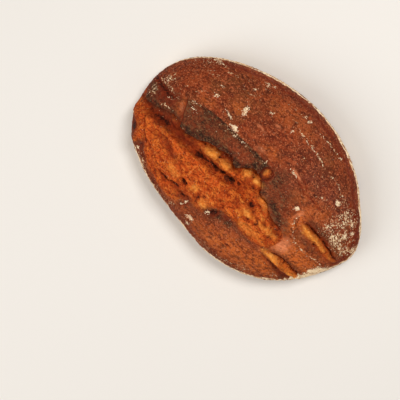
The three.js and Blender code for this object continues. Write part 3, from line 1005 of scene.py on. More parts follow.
@dataclass
class OvenMarks:
    """Where the oven charred or reddened the skin, and where flour was left on it; painted shade and
    highlight besides.
    """

    ragged_x: Ripple = Ripple(1.3, 5, 3, shift=50)
    ragged_y: Ripple = Ripple(1.3, 5, 3, shift=90)
    char_and_shade: tuple[Spot, ...] = spots(
        # the ear, and its lip
        (-68, 14, 14, 8, 4, 0.75), (8, 20, 8, 7, 0, 1.0), (24, 25, 6, 5, 0, 0.7),
        # the second ear
        (32, 20, 9, 11, 10, 0.85), (46, 9, 14, 8, -26, 0.65), (51, -4, 22, 5, -26, 0.95),
        (68, -8, 9, 5, -20, 0.65), (52, 20, 11, 8, -10, 0.35), (29, 4, 3, 8, 0, 0.8),
        # the knob
        (-120, 9.5, 20, 3.4, 5, 1.0), (-134, 0, 7, 10, 20, 0.9), (-128, -12, 10, 4, -4, 1.0),
        (-114, -9.5, 20, 4, 6, 0.95), (-108, 13, 6, 3, 20, 0.7),
        # the lower edge, the folds and round the short slashes, partly painted shade in the hollows beside
        # the short slashes and in the fold at the far end
        (5, -52, 11, 5.5, 36, 1.2), (19, -48, 13, 4.5, 10, 1.1), (44, -48, 16, 3.2, 0, 0.4),
        (-24, -62, 6, 6, 0, 0.7), (-104, -57, 5, 8, -10, 0.8), (-125, -47, 9, 9, 35, 1.0),
        (-29, -70, 3, 6, 0, 0.6), (100, 9.5, 17, 3.4, -8, 0.75), (102, -9, 15, 4, -8, 0.55),
        (98, -38, 15, 2.4, -4, 0.7), (94, -55, 16, 2.6, -14, 0.6), (-28, -62, 14, 5, 0, 0.6),
        (-4, -62, 12, 4, 10, 0.4),
    )
    # dark red on the knob, and painted shade in the furrow under the ears, at their lips and near the
    # widest line
    scab_and_shade: tuple[Spot, ...] = spots(
        (-121, 1, 22, 11, 3, 1.0), (-122, -17, 24, 5, 0, 0.9), (-104, -15, 22, 8.5, 0, 1.0),
        (-80, -14, 28, 7, 3, 0.95), (-92, -66, 14, 3.6, -38, 0.85), (-68, -76, 16, 3, -14, 0.8),
        (-58, -12, 12, 6, 0, 0.5), (-22, 5, 9, 4, 10, 0.8), (-75, -33, 17, 4, -14, 0.6),
        (98, -51, 10, 2.6, 0, 0.3), (134, 24, 16, 2.6, -66, 0.9), (118, 44, 10, 2.4, -38, 0.9),
        (104, -57, 6, 3.4, 20, 0.9), (60, -17, 14, 3, -20, 0.5), (52, -6, 13, 3, -28, 0.7),
        (0, -88, 60, 5, 0, 0.35), (16, -25.5, 5, 4, 0, 0.35),
    )
    # toasted gold, and painted highlight on the lumps under the ear and on the ridges in the short slashes
    gold_and_highlight: tuple[Spot, ...] = spots(
        (-37, -4.5, 9, 4.6, 4, 1.0), (-19, -4, 7, 4, 0, 0.75), (4, 6, 5, 4, 20, 0.7),
        (17, 6.5, 7, 3, 0, 0.9), (17, 19, 3, 4, 0, 0.5), (36, -6, 8, 3.6, -14, 0.5),
        (31, -25, 6, 4, 10, 0.6), (47, -26, 4, 3, 0, 0.5), (64, -26, 6, 3, 0, 0.6),
        (-55, -47, 9, 4, -10, 0.3), (-27, -45, 4, 4, 0, 0.7), (-8, -52, 7, 5, 0, 0.5),
        (44, -38, 15, 4, 0, 0.35), (91, 0.6, 7, 3.4, -18, 1.2), (102, -1, 8, 3, -4, 1.0),
        (113, -3, 7, 2, -6, 0.6), (127, -6, 7, 2.2, -12, 0.3), (80, -45.5, 9, 3.2, -2, 1.2),
        (97, -48, 6, 2, -3, 0.4), (110, -49.5, 9, 2.4, 2, 0.8),
    )
    tawny: tuple[Spot, ...] = spots(
        (55, -67, 46, 13, 8, 1.0), (80, -60, 22, 11, 0, 1.0), (22, -78, 30, 8, 2, 0.75),
        (-50, -69, 24, 7, -4, 0.8), (-82, -70, 12, 6, -30, 0.7), (75, 2, 7, 20, -10, 1.0),
        (100, -28, 22, 14, 0, 1.2), (-96, 8, 5, 8, 20, 1.0), (79, -27, 12, 9, 0, 1.0),
        (108, -8, 24, 9, -8, 0.65), (84, 22, 13, 11, 0, 0.6), (112, -46, 15, 6, 0, 0.9),
        (8, 38, 12, 6, 0, 0.5), (2, 76, 34, 9, 0, 0.35), (-50, 48, 9, 7, 0, 0.5), (60, 24, 10, 9, 0, 0.4),
        (-80, 31, 12, 4, 10, 0.5), (30, -56, 20, 6, 0, 0.4),
    )
    dusky: tuple[Spot, ...] = spots(
        (92, 34, 30, 24, -30, 1.0), (60, 50, 34, 18, -24, 0.8), (40, 26, 20, 12, 0, 0.6),
        (104, -6, 26, 9, -8, 0.6), (20, 80, 30, 10, -8, 0.5), (30, -51, 24, 6, 4, 0.9),
    )
    bare: tuple[Spot, ...] = spots(
        (80.5, -27, 7.5, 8, 10, 0.95), (-93.5, 9, 3.4, 6.5, 30, 0.45), (42, 38, 6, 1.2, -20, 1.0),
        (-16, 48.5, 6, 1.3, -12, 0.6), (72, 9, 2.2, 6, -10, 0.6), (-6, 61, 3, 1.2, 0, 0.5),
        (-3, 33, 5, 2.4, 20, 0.35),
    )
    flour: tuple[Spot, ...] = spots(
        # swept over the tip
        (130, -24, 13, 6, 42, 1.0), (124, -37, 10, 6, 62, 1.0), (117, -52, 8, 4, 55, 0.8),
        (140, 13, 7, 3, -70, 0.9), (112, 34, 12, 14, 0, 0.85), (104, 20, 8, 13, 0, 0.75),
        (119, 12, 14, 8, -25, 0.95), (124, 18, 9, 9, 0, 0.8), (134, 8, 7, 9, 0, 0.9),
        (98, 47, 10, 6, -35, 0.6), (80, 37, 8, 4, 0, 0.5), (122, 36, 8, 5, -40, 0.8),
        (128, 22, 7, 7, 0, 0.7),
        # along the creases and on the far end
        (-87, 20, 8, 3.6, 24, 0.7), (-28, 25.5, 26, 3.2, 0, 0.62), (4, 26, 10, 2.5, 0, 0.5),
        (-127, 20, 9, 7, 60, 0.75), (-124, 13, 15, 1.8, 0, 0.85), (-132, -3, 5, 8, 30, 0.75),
        (-108, -3, 7, 2.6, 20, 0.75), (-94, -1, 9, 1.6, 0, 0.5), (-108, 63, 17, 6, 36, 0.62),
        (-96, 55, 12, 3, 15, 0.6), (-122, 50, 9, 6, 40, 0.45), (-112, 6, 4, 2, 20, 0.6),
        (-44, 84, 8, 1.4, 16, 0.8), (-50, 73, 4, 2, 30, 0.8), (40, 37.8, 6, 1.2, -20, 0.6),
        (66, 12.5, 4, 2, 32, 0.9), (-125, 19, 7, 4, 50, 0.8), (-112, 12, 12, 2, -8, 0.7),
        # under the crown, towards -Y
        (66, -79, 13, 4, 24, 0.7), (50, -87, 16, 3, 8, 0.7), (20, -90, 16, 4, 0, 0.6),
        (-92, -71, 15, 5, -26, 0.85), (-60, -81, 16, 4, -12, 0.6), (-40, -81, 8, 3, 5, 0.7),
        (96, -63, 5, 3, 30, 0.7), (-10, -76, 6, 3, 0, 0.6), (20, -52, 7, 3, 30, 0.35),
    )
    streaks: tuple[Stroke, ...] = (  # thin lines of flour
        Stroke(0.9, 0.85, ((14, 72.6), (29, 68.7), (46, 66.6), (59, 61.5))),
        Stroke(0.7, 0.5, ((6, 75.5), (22, 72), (36, 70.5))),
        Stroke(0.9, 0.75, ((31, 83.4), (40, 82.8), (47, 82.8), (58, 79))),
        Stroke(0.8, 0.7, ((69, 59.6), (82, 57.5), (94, 50))),
        Stroke(0.9, 0.78, (
            (75, 9), (72, 5), (73, 0), (76, -5), (80, -10), (85, -14), (92, -16.5), (104, -17.4),
            (124, -18),
        )),
        Stroke(0.6, 0.45, ((20, 56), (34, 52), (48, 50))),
        Stroke(0.7, 0.45, ((-60, 66), (-40, 69), (-22, 68))),
        Stroke(1.2, 0.8, ((-116, 59), (-103, 65.5), (-88, 68.5))),
        Stroke(0.6, 0.4, ((-20, -72), (0, -70), (22, -71), (44, -72))),
    )
    clumps: tuple[Spot, ...] = spots(
        (-38, 30.4, 5.6, 1.8, -4, 1.0), (-42, 50.5, 2.4, 5.4, 15, 1.0), (-51, 36.4, 6, 1.3, -12, 0.8),
        (-76, 41.5, 3, 2, 40, 0.7), (93.5, 43, 3.0, 2.2, -20, 1.0), (120.5, 34.5, 2.4, 1.6, 10, 1.0),
        (123, 22, 3, 2.2, -40, 1.0), (127, 28, 1.8, 1.8, 0, 0.9), (66, 12.6, 3.6, 1.6, 34, 0.9),
        (40, 37, 6, 1.0, -14, 0.7), (0, -56, 1.5, 1.8, 0, 1.0), (-11.5, -76, 4.4, 1.8, 10, 0.8),
        (-10, -84, 2.6, 1.8, -20, 0.7), (-25, -64.5, 2.2, 1.4, 0, 0.8), (-28, -70.5, 1.4, 1.6, 0, 0.8),
        (-134, -37, 2.2, 1.2, 20, 0.8), (-106.5, -62.5, 1.8, 1.6, 0, 0.9), (-127, 18, 3.6, 6, -20, 0.3),
        (-88, 21, 4, 1.6, 24, 0.4), (130, -24, 12, 5, 42, 0.5), (124, -37, 9, 5, 62, 0.5),
        (140, 14, 4, 1.8, -70, 0.7), (-32, 24, 3, 1.4, 20, 0.6), (-22, 26.5, 4, 1.4, -20, 0.6),
        (10, 26, 2, 1.4, 20, 0.6), (-20, 67, 2, 1.2, 0, 0.8), (-78, 52, 2, 1.5, 0, 0.5),
        (9, 68, 1.4, 1.2, 0, 0.7), (8.3, 86, 2.2, 1.0, 0, 0.8), (14.5, 85, 1.6, 1.2, 0, 0.8),
        (-44, 84.5, 2.2, 1.0, 10, 0.7), (-37, 85.7, 1.4, 0.9, 0, 0.8), (-51, 72.5, 2.0, 1.2, 30, 0.6),
        (8.4, 66.5, 1.2, 1.0, 0, 0.8), (50, 64, 5, 0.8, -14, 0.5), (64, 79, 2.4, 1.2, -20, 0.7),
        (78, 37, 4, 1.3, 10, 0.5), (108, 40, 4, 6, 0, 0.28), (104, 20, 4, 9, 0, 0.28),
        (118, 9, 9, 2.4, -25, 0.28), (-104, 66, 8, 2, 30, 0.35), (-113, 5, 1.2, 0.8, 0, 0.6),
        (-131, 1, 1.0, 1.2, 0, 0.6), (-129.5, -2.6, 1, 0.8, 0, 0.5), (-105, -3, 1.4, 1.2, 30, 0.6),
        (-110, -4, 0.8, 0.8, 0, 0.6), (-82, 16, 5, 2, 0, 0.4),
    )
    streak_flour: float = 1.2  # share of a streak's amount that is a dusting
    streak_clumps: float = 0.42  # and that lies in clumps
    # the dark under the step at the knob
    knob_shade: Line = Line(((-141, 8), (-120, 6.5), (-104, 9)))
    knob_shade_width: float = 4.0
    knob_shade_ends: Fade = Fade(-101, -108)
    # rings of flour from the proving basket's coils, on the crown
    ring_spacing: float = 9.0
    ring_width: float = 0.9
    ring_flour: float = 0.75
    ring_course: Ripple = Ripple(1.5, 40, shift=7)
    ring_gaps: Ripple = Ripple(1.0, 26, shift=60)
    ring_kept: Fade = Fade(-0.1, 0.5)  # where ring_gaps is above this
    ring_outermost: Fade = Fade(3, 8)  # in from the widest line
    ring_innermost: Fade = Fade(60, 40)
    ring_side: Fade = Fade(10, 30)  # across the loaf
    # the dark red line just inside the widest line: partly burnt crust, partly painted shade
    burnt_edge: float = 5.0
    burnt_course: Ripple = Ripple(1.2, 14, 3, shift=33)
    burnt_width: float = 1.1
    burnt_red_and_shade: float = 0.7
    burnt_shade: float = 0.6
    burnt_slant: float = 0.35  # the line ends further towards -Y at the tip
    burnt_side: Fade = Fade(-5, 25)
    # the band of flour on the side
    side_top: float = 27.5  # how high it reaches, at +Y
    side_top_back: float = 36.0  # and at -Y
    side_turns: Fade = Fade(-20, 60)  # across the loaf, towards -Y
    side_ragged: Ripple = Ripple(2.4, 14, 3)
    side_edge: Fade = Fade(2, -5)  # above its top
    coil_height: float = 8.5  # of the proving basket's coils up the side
    coil_course: Ripple = Ripple(1.2, 30, shift=17)
    between_coils: float = 0.3  # share of the flour missing between two coils
    worn: float = 0.2  # and where the band is worn
    worn_places: Ripple = Ripple(1.0, 24, 3, shift=9)
    worn_from: Fade = Fade(-0.3, 0.6)
    worn_below: Fade = Fade(2, 10)  # under the band's top
    base_worn: float = 0.3
    base_edge: Fade = Fade(6, 1)
    rubbed: tuple[Spot, ...] = spots(
        # where less flour stuck
        (-127, -47, 14, 16, 35, 1.2), (-142, -14, 12, 24, 0, 1.2),
    )
    rubbed_drop: float = 17.0  # how much lower the flour ends there
    thick: tuple[Spot, ...] = spots(
        # where it lies thick as far as the crown
        (128, -27, 13, 4.4, 46, 1.1), (122, -42, 9, 4, 60, 1.0), (114, -54, 6, 2.6, 48, 0.9),
    )

    def shape(self, skin: Skin, noise: Noise) -> None:
        """Paint the char, the red, the gold and the flour, with painted shade and highlight among them.

        Args:
            skin: The loaf's skin, which is changed.
            noise: For the ragged edges.
        """
        x = skin.x + self.ragged_x.at(noise, skin.flat)
        y = skin.y - skin.slide + self.ragged_y.at(noise, skin.flat)
        for layer, places in ((Paint.CHAR_AND_SHADE, self.char_and_shade), (Paint.SCAB_AND_SHADE, self.scab_and_shade), (Paint.GOLD_AND_HIGHLIGHT, self.gold_and_highlight),
                              (Paint.TAWNY, self.tawny), (Paint.DUSKY, self.dusky), (Paint.BARE, self.bare),
                              (Paint.FLOUR, self.flour), (Paint.CLUMPS, self.clumps),
                              (Paint.SIDE, self.thick)):
            for place in places:
                skin.add(layer, place.cover(x, y) * skin.crown)
        for streak in self.streaks:
            thin = streak.amount * streak.cover(x, y) * skin.crown
            skin.add(Paint.FLOUR, self.streak_flour * thin)
            skin.add(Paint.CLUMPS, self.streak_clumps * thin)
        shade = bell((y - self.knob_shade.at(x)) / self.knob_shade_width) * self.knob_shade_ends.at(x)
        skin.add(Paint.PAINTED_SHADE, shade * skin.crown)
        self._edge(skin, noise)
        self._side(skin, noise)

    def _edge(self, skin: Skin, noise: Noise) -> None:
        """Paint what follows the widest line: the rings of flour and the dark red line, partly burnt and
        partly painted shade.

        Args:
            skin: The loaf's skin, which is painted.
            noise: For the ragged edges.
        """
        reach = skin.reach_left
        ring = (reach + self.ring_course.at(noise, skin.flat)) % self.ring_spacing
        ring = bell((ring - self.ring_spacing / 2) / self.ring_width)
        kept = self.ring_kept.at(self.ring_gaps.at(noise, skin.flat)) * self.ring_side.at(skin.y)
        kept = kept * self.ring_innermost.at(reach) * self.ring_outermost.at(reach)
        skin.add(Paint.FLOUR, self.ring_flour * ring * kept * skin.crown)
        # a dark red line, partly burnt crust and partly painted shade
        burnt = bell((reach - self.burnt_edge - self.burnt_course.at(noise, skin.flat)) / self.burnt_width)
        burnt = burnt * self.burnt_side.at(skin.y + self.burnt_slant * skin.x)
        skin.add(Paint.SCAB_AND_SHADE, self.burnt_red_and_shade * burnt)
        skin.add(Paint.PAINTED_SHADE, self.burnt_shade * burnt)

    def _side(self, skin: Skin, noise: Noise) -> None:
        """Paint the band of flour that the proving basket left on the side.

        Args:
            skin: The loaf's skin, which is painted.
            noise: For its ragged edge and its worn places.
        """
        height = skin.place[:, 2]
        rubbed = np.minimum(sum(place.cover(skin.x, skin.y) for place in self.rubbed), 1)
        top = mix(self.side_top, self.side_top_back, self.side_turns.at(-skin.y))
        top = top - self.rubbed_drop * rubbed
        above = height + self.side_ragged.at(noise, skin.place) - top
        coil = (height + self.coil_course.at(noise, skin.flat)) * 2 * math.pi / self.coil_height
        missing = self.between_coils * (1 - np.cos(coil)) / 2
        missing = missing + self.worn * self.worn_from.at(self.worn_places.at(noise, skin.place))
        missing = missing * self.worn_below.at(-above) + self.base_worn * self.base_edge.at(height)
        skin.add(Paint.SIDE, self.side_edge.at(above) * (1 - missing))


# ---------------------------------------------------------------------------------------------------------
# Finishes


def linear(colour: str) -> tuple[float, float, float, float]:
    """Turn an sRGB hex colour to linear light.

    Args:
        colour: Six hex digits after a hash.

    Returns:
        Linear red, green and blue, and an alpha of 1.
    """
    channels = [int(colour[i:i + 2], 16) / 255 for i in (1, 3, 5)]
    light = [c / 12.92 if c <= 0.04045 else ((c + 0.055) / 1.055) ** 2.4 for c in channels]
    return (light[0], light[1], light[2], 1.0)


def add_node(tree: bpy.types.NodeTree, kind: str, inputs: dict[Any, Any] | None = None,
             **settings: Any) -> bpy.types.Node:
    """Add a node with its settings, and set or link its inputs.

    Args:
        tree: The tree that it goes in.
        kind: The node's type.
        inputs: A value or an output socket for each input, by name or number.
        settings: The node's own properties.

    Returns:
        The node.
    """
    node = tree.nodes.new(kind)
    for name, value in settings.items():
        setattr(node, name, value)
    for key, value in (inputs or {}).items():
        if isinstance(value, bpy.types.NodeSocket):
            tree.links.new(value, node.inputs[key])
        else:
            node.inputs[key].default_value = value
    return node


@dataclass(frozen=True)
class Stain:
    """One colour laid in patches over the colours before it."""

    colour: str
    size: float  # of its patches, in millimetres
    low: float  # it comes in where its noise passes from low
    high: float  # to high
    layer: Paint | None = None  # the paint that it is laid on, or everywhere
    strength: float = 1.0
    spread: float = 0.0  # above 0, its patches grow with the paint instead of fading in
    stretch: tuple[float, float, float] = (1.0, 1.0, 1.0)
    detail: float = 2.5  # how many finer layers its noise has


@dataclass(frozen=True)
class BakedCrust:
    """Rye and wheat crust baked dark on the oven floor: matt, mottled, reddish where it blistered."""

    base: str = "#7a3014"
    roughness: float = 0.72
    stains: tuple[Stain, ...] = (
        Stain("#8f3f1c", 32, 0.46, 0.58, strength=0.75, detail=5),
        Stain("#613c1c", 44, 0.5, 0.64, strength=0.5, detail=5),
        Stain("#6c382a", 20, 0.3, 0.55, Paint.DUSKY, 0.7, detail=5),
        Stain("#5a2410", 18, 0.51, 0.62, strength=0.7, detail=6),
        Stain("#bc5c22", 16, 0.2, 0.48, Paint.TAWNY, 0.95, detail=4),
        Stain("#cc7238", 6, 0.5, 0.66, Paint.TAWNY, 0.55, detail=4),
        Stain("#4a1b0a", 9, 0.52, 0.68, strength=0.65, detail=6),
        Stain("#4a1a0b", 4, 0.5, 0.62, strength=0.62, stretch=(0.55, 1, 1)),
        Stain("#a5502c", 3.2, 0.54, 0.66, strength=0.6, stretch=(0.6, 1, 1)),
        Stain("#3c1408", 2.3, 0.52, 0.64, strength=0.68, stretch=(0.7, 1, 1)),
        Stain("#bd6a42", 1.7, 0.54, 0.65, strength=0.72),
        Stain("#e0875a", 6, 0.2, 0.6, Paint.BARE, 0.9),
    )


@dataclass(frozen=True)
class TornCrumb:
    """Crumb that tore open in the oven and toasted: rougher than crust, orange with dark pores."""

    roughness: float = 0.85
    stains: tuple[Stain, ...] = (
        Stain("#c0511a", 9, -1.0, -0.5, Paint.TORN),
        Stain("#96360d", 12, 0.49, 0.6, Paint.TORN, 0.75, stretch=(1, 2, 1), detail=5),
        Stain("#d06a24", 8, 0.5, 0.6, Paint.TORN, 0.75, detail=5),
        Stain("#7c2a08", 3.2, 0.52, 0.62, Paint.TORN, 0.85, stretch=(0.7, 1.3, 1)),
        Stain("#d97e38", 2.4, 0.54, 0.66, Paint.TORN, 0.6),
        Stain("#501604", 1.8, 0.54, 0.65, Paint.TORN, 0.8),
        # toasted gold, with painted highlight on lit lumps
        Stain("#e08430", 6, 0.15, 0.4, Paint.GOLD_AND_HIGHLIGHT, 0.95),
        Stain("#f0a551", 3, 0.46, 0.62, Paint.GOLD_AND_HIGHLIGHT, 0.75),
    )


@dataclass(frozen=True)
class CharredSkinAndShade:
    """Skin that stood up to the heat: nearly black brown at the lips, ashy where it is thin; with it, the
    painted shade in hollows, cracks and pits.
    """

    roughness: float = 0.78
    stains: tuple[Stain, ...] = (
        # dark red scab, partly painted shade
        Stain("#611e0b", 8, 0.2, 0.5, Paint.SCAB_AND_SHADE, 0.9),
        Stain("#320d05", 4, 0.48, 0.6, Paint.SCAB_AND_SHADE, 0.8),
        Stain("#8e3a1c", 3, 0.55, 0.66, Paint.SCAB_AND_SHADE, 0.6),
        # char, partly painted shade
        Stain("#632d17", 9, 0.1, 0.42, Paint.CHAR_AND_SHADE, 0.92),
        Stain("#3d3320", 14, 0.5, 0.62, Paint.CHAR_AND_SHADE, 0.42, detail=4),
        Stain("#24150d", 5, 0.2, 0.62, Paint.CHAR_AND_SHADE, 0.9, spread=0.75, detail=5),
        Stain("#190e08", 1.8, 0.52, 0.62, Paint.CHAR_AND_SHADE, 0.85),
        Stain("#7a5a3a", 2.4, 0.53, 0.66, Paint.CHAR_AND_SHADE, 0.52, stretch=(0.4, 1, 1)),
        Stain("#8c6844", 1.5, 0.56, 0.66, Paint.CHAR_AND_SHADE, 0.42),
        # painted shade in hollows, pits and cracks
        Stain("#7c2407", 7, 0.1, 0.4, Paint.PAINTED_SHADE, 0.75),
        Stain("#46190b", 3.5, 0.32, 0.5, Paint.PAINTED_SHADE, 0.8, spread=0.6),
        Stain("#240a04", 3, 0.4, 0.55, Paint.PAINTED_SHADE, 0.85, spread=1.3),
    )


@dataclass(frozen=True)
class FlourDust:
    """Flour from the proving basket, baked on: cream, thin and broken over the grain of the crust."""

    roughness: float = 0.95
    stains: tuple[Stain, ...] = (
        Stain("#a3704c", 5, 0.48, 0.64, Paint.FLOUR, 0.5, spread=0.2),
        Stain("#d2aa80", 2.2, 0.48, 0.58, Paint.FLOUR, 0.9, spread=0.2),
        Stain("#f3dab2", 2.3, 0.51, 0.57, Paint.FLOUR, 0.97, spread=0.3, detail=3.5),
        Stain("#d8a676", 9, 0.28, 0.5, Paint.SIDE, 0.9, spread=0.5, detail=5),
        Stain("#ffe6bf", 4, 0.34, 0.46, Paint.SIDE, 0.97, spread=0.5, detail=5),
        Stain("#b57a4e", 2.4, 0.57, 0.68, Paint.SIDE, 0.5),
        Stain("#f3dcb8", 1.8, 0.4, 0.5, Paint.CLUMPS, 0.9, spread=0.3),
    )


@dataclass(frozen=True)
class LoafFinish:
    """The loaf's one material: its finishes laid over each other as the skin's paint says."""

    crust: BakedCrust = BakedCrust()
    crumb: TornCrumb = TornCrumb()
    char_and_shade: CharredSkinAndShade = CharredSkinAndShade()
    flour: FlourDust = FlourDust()
    ior: float = 1.45  # dry starch
    shine: float = 0.12  # the grain shades most of it
    fine_grain: tuple[float, float] = (1.3, 0.5)  # size and height of the finest grain, in millimetres
    coarse_grain: tuple[float, float] = (4.0, 0.8)
    grain_detail: float = 3.0
    grain_strength: float = 0.8
    crumb_grain: float = 2.0  # how much higher both grains stand on the crumb
    patch_raggedness: float = 0.6
    patch_shift: tuple[float, float, float] = (0.37, 0.11, 0.23)  # metres, from one stain to the next

    def build(self) -> bpy.types.Material:
        """Build the material.

        Returns:
            The material.
        """
        material = bpy.data.materials.new("baked_crust_and_torn_crumb")
        material.use_nodes = True
        tree = material.node_tree
        tree.nodes.clear()
        place = add_node(tree, "ShaderNodeTexCoord").outputs["Object"]
        layers = {
            layer: add_node(tree, "ShaderNodeAttribute", attribute_name=layer.value).outputs["Fac"]
            for layer in Paint
        }
        colour = linear(self.crust.base)
        stains = self.crust.stains + self.crumb.stains + self.char_and_shade.stains + self.flour.stains
        for number, stain in enumerate(stains):
            colour = self._lay(tree, stain, number, place, layers, colour)
        rough = self.crust.roughness
        for layer, value in ((Paint.TORN, self.crumb.roughness), (Paint.CHAR_AND_SHADE, self.char_and_shade.roughness),
                             (Paint.FLOUR, self.flour.roughness), (Paint.SIDE, self.flour.roughness)):
            rough = add_node(tree, "ShaderNodeMix", {0: layers[layer], 2: rough, 3: value}).outputs[0]
        bump = None
        for size, height in (self.coarse_grain, self.fine_grain):
            grain = add_node(tree, "ShaderNodeTexNoise", {
                "Vector": place, "Scale": 1 / (size * MM), "Detail": self.grain_detail})
            rough_share = add_node(tree, "ShaderNodeMapRange", {
                "Value": layers[Paint.TORN], "To Min": 1.0, "To Max": self.crumb_grain})
            raised = add_node(tree, "ShaderNodeMath", {
                0: grain.outputs["Fac"], 1: rough_share.outputs["Result"]}, operation="MULTIPLY")
            inputs = {"Height": raised.outputs["Value"], "Distance": height * MM,
                      "Strength": self.grain_strength}
            if bump is not None:
                inputs["Normal"] = bump.outputs["Normal"]
            bump = add_node(tree, "ShaderNodeBump", inputs)
        shader = add_node(tree, "ShaderNodeBsdfPrincipled", {
            "Base Color": colour, "Roughness": rough, "Normal": bump.outputs["Normal"],
            "IOR": self.ior, "Specular IOR Level": self.shine})
        add_node(tree, "ShaderNodeOutputMaterial", {"Surface": shader.outputs["BSDF"]})
        return material

    def _lay(self, tree: bpy.types.NodeTree, stain: Stain, number: int, place: bpy.types.NodeSocket,
             layers: dict[Paint, bpy.types.NodeSocket], under: Any) -> bpy.types.NodeSocket:
        """Lay one stain over the colour so far.

        Args:
            tree: The material's tree.
            stain: What is laid.
            number: Its number, which moves its noise so that no two are alike.
            place: Object coordinates.
            layers: The paint layers.
            under: The colour so far.

        Returns:
            The new colour.
        """
        shift = tuple(number * step for step in self.patch_shift)
        moved = add_node(tree, "ShaderNodeMapping", {
            "Vector": place, "Location": shift, "Scale": stain.stretch})
        noise = add_node(tree, "ShaderNodeTexNoise", {
            "Vector": moved.outputs["Vector"], "Scale": 1 / (stain.size * MM), "Detail": stain.detail,
            "Roughness": self.patch_raggedness})
        value = noise.outputs["Fac"]
        if stain.spread:
            value = add_node(tree, "ShaderNodeMath", {0: layers[stain.layer], 1: stain.spread, 2: value},
                             operation="MULTIPLY_ADD").outputs["Value"]
            value = add_node(tree, "ShaderNodeMath", {0: value, 1: stain.spread},
                             operation="SUBTRACT").outputs["Value"]
        cover = add_node(tree, "ShaderNodeMapRange", {
            "Value": value, "From Min": stain.low, "From Max": stain.high, "To Max": stain.strength,
        }, interpolation_type="SMOOTHSTEP").outputs["Result"]
        if stain.layer and not stain.spread:
            cover = add_node(tree, "ShaderNodeMath", {0: cover, 1: layers[stain.layer]},
                             operation="MULTIPLY").outputs["Value"]
        return add_node(tree, "ShaderNodeMix", {0: cover, 6: under, 7: linear(stain.colour)},
                        data_type="RGBA").outputs[2]


@dataclass(frozen=True)
class LooseFlourFinish:
    """Dry flour in clumps: cream, dead matt, a little toasted."""

    base: str = "#f0d9b4"
    toasted: str = "#c99a70"
    toasted_share: float = 0.7
    roughness: float = 1.0
    ior: float = 1.45
    shine: float = 0.2
    patch: float = 2.5  # millimetres
    patch_edge: tuple[float, float] = (0.45, 0.65)  # from where to where its noise brings the toast in

    def build(self) -> bpy.types.Material:
        """Build the material.

        Returns:
            The material.
        """
        material = bpy.data.materials.new("loose_flour")
        material.use_nodes = True
        tree = material.node_tree
        tree.nodes.clear()
        place = add_node(tree, "ShaderNodeTexCoord").outputs["Object"]
        noise = add_node(tree, "ShaderNodeTexNoise", {"Vector": place, "Scale": 1 / (self.patch * MM)})
        low, high = self.patch_edge
        cover = add_node(tree, "ShaderNodeMapRange", {
            "Value": noise.outputs["Fac"], "From Min": low, "From Max": high, "To Max": self.toasted_share})
        colour = add_node(tree, "ShaderNodeMix", {
            0: cover.outputs["Result"], 6: linear(self.base), 7: linear(self.toasted)}, data_type="RGBA")
        shader = add_node(tree, "ShaderNodeBsdfPrincipled", {
            "Base Color": colour.outputs[2], "Roughness": self.roughness, "IOR": self.ior,
            "Specular IOR Level": self.shine})
        add_node(tree, "ShaderNodeOutputMaterial", {"Surface": shader.outputs["BSDF"]})
        return material


# ---------------------------------------------------------------------------------------------------------
# Geometry Nodes


class SurfaceTree:
    """A Geometry Nodes tree with named inputs for its sizes, run once to leave a plain mesh."""

    def __init__(self, name: str, sizes: dict[str, float | int]) -> None:
        """Start the tree.

        Args:
            name: The tree's name.
            sizes: Its inputs by name; lengths are in metres.
        """
        self.sizes = sizes
        self.tree = bpy.data.node_groups.new(name, "GeometryNodeTree")
        sockets = self.tree.interface
        sockets.new_socket("Geometry", in_out="INPUT", socket_type="NodeSocketGeometry")
        sockets.new_socket("Geometry", in_out="OUTPUT", socket_type="NodeSocketGeometry")
        for size, value in sizes.items():
            kind = "NodeSocketInt" if isinstance(value, int) else "NodeSocketFloat"
            sockets.new_socket(size, in_out="INPUT", socket_type=kind)
        self.inputs = add_node(self.tree, "NodeGroupInput").outputs

    def layer(self, paint: Paint) -> bpy.types.NodeSocket:
        """Read one layer of the skin's paint."""
        return add_node(self.tree, "GeometryNodeInputNamedAttribute", {"Name": paint.value},
                        data_type="FLOAT").outputs["Attribute"]

    def maths(self, operation: str, *values: Any) -> bpy.types.NodeSocket:
        """Work out one value from others.

        Args:
            operation: What is done with them, as Blender calls it.
            values: Numbers or output sockets.

        Returns:
            The result's socket.
        """
        node = add_node(self.tree, "ShaderNodeMath", dict(enumerate(values)), operation=operation)
        return node.outputs["Value"]

    def close(self, geometry: bpy.types.NodeSocket, material: bpy.types.Material) -> None:
        """End the tree in a realized geometry with its material.

        Args:
            geometry: What the tree made.
            material: The material that it gets.
        """
        realized = add_node(self.tree, "GeometryNodeRealizeInstances", {"Geometry": geometry})
        finished = add_node(self.tree, "GeometryNodeSetMaterial", {
            "Geometry": realized.outputs["Geometry"], "Material": material})
        add_node(self.tree, "NodeGroupOutput", {"Geometry": finished.outputs["Geometry"]})

    def run(self, source: bpy.types.Object, name: str) -> bpy.types.Object:
        """Run the tree on an object.

        Args:
            source: The object, which is left as it was.
            name: What the result is called.

        Returns:
            A new object with the result as a plain mesh.
        """
        modifier = source.modifiers.new(self.tree.name, "NODES")
        modifier.node_group = self.tree
        for socket in self.tree.interface.items_tree:
            if socket.in_out == "INPUT" and socket.name in self.sizes:
                modifier[socket.identifier] = self.sizes[socket.name]
        graph = bpy.context.evaluated_depsgraph_get()
        mesh = bpy.data.meshes.new_from_object(
            source.evaluated_get(graph), preserve_all_data_layers=True, depsgraph=graph)
        source.modifiers.remove(modifier)
        mesh.name = name
        mesh.shade_smooth()
        result = bpy.data.objects.new(name, mesh)
        bpy.context.scene.collection.objects.link(result)
        return result


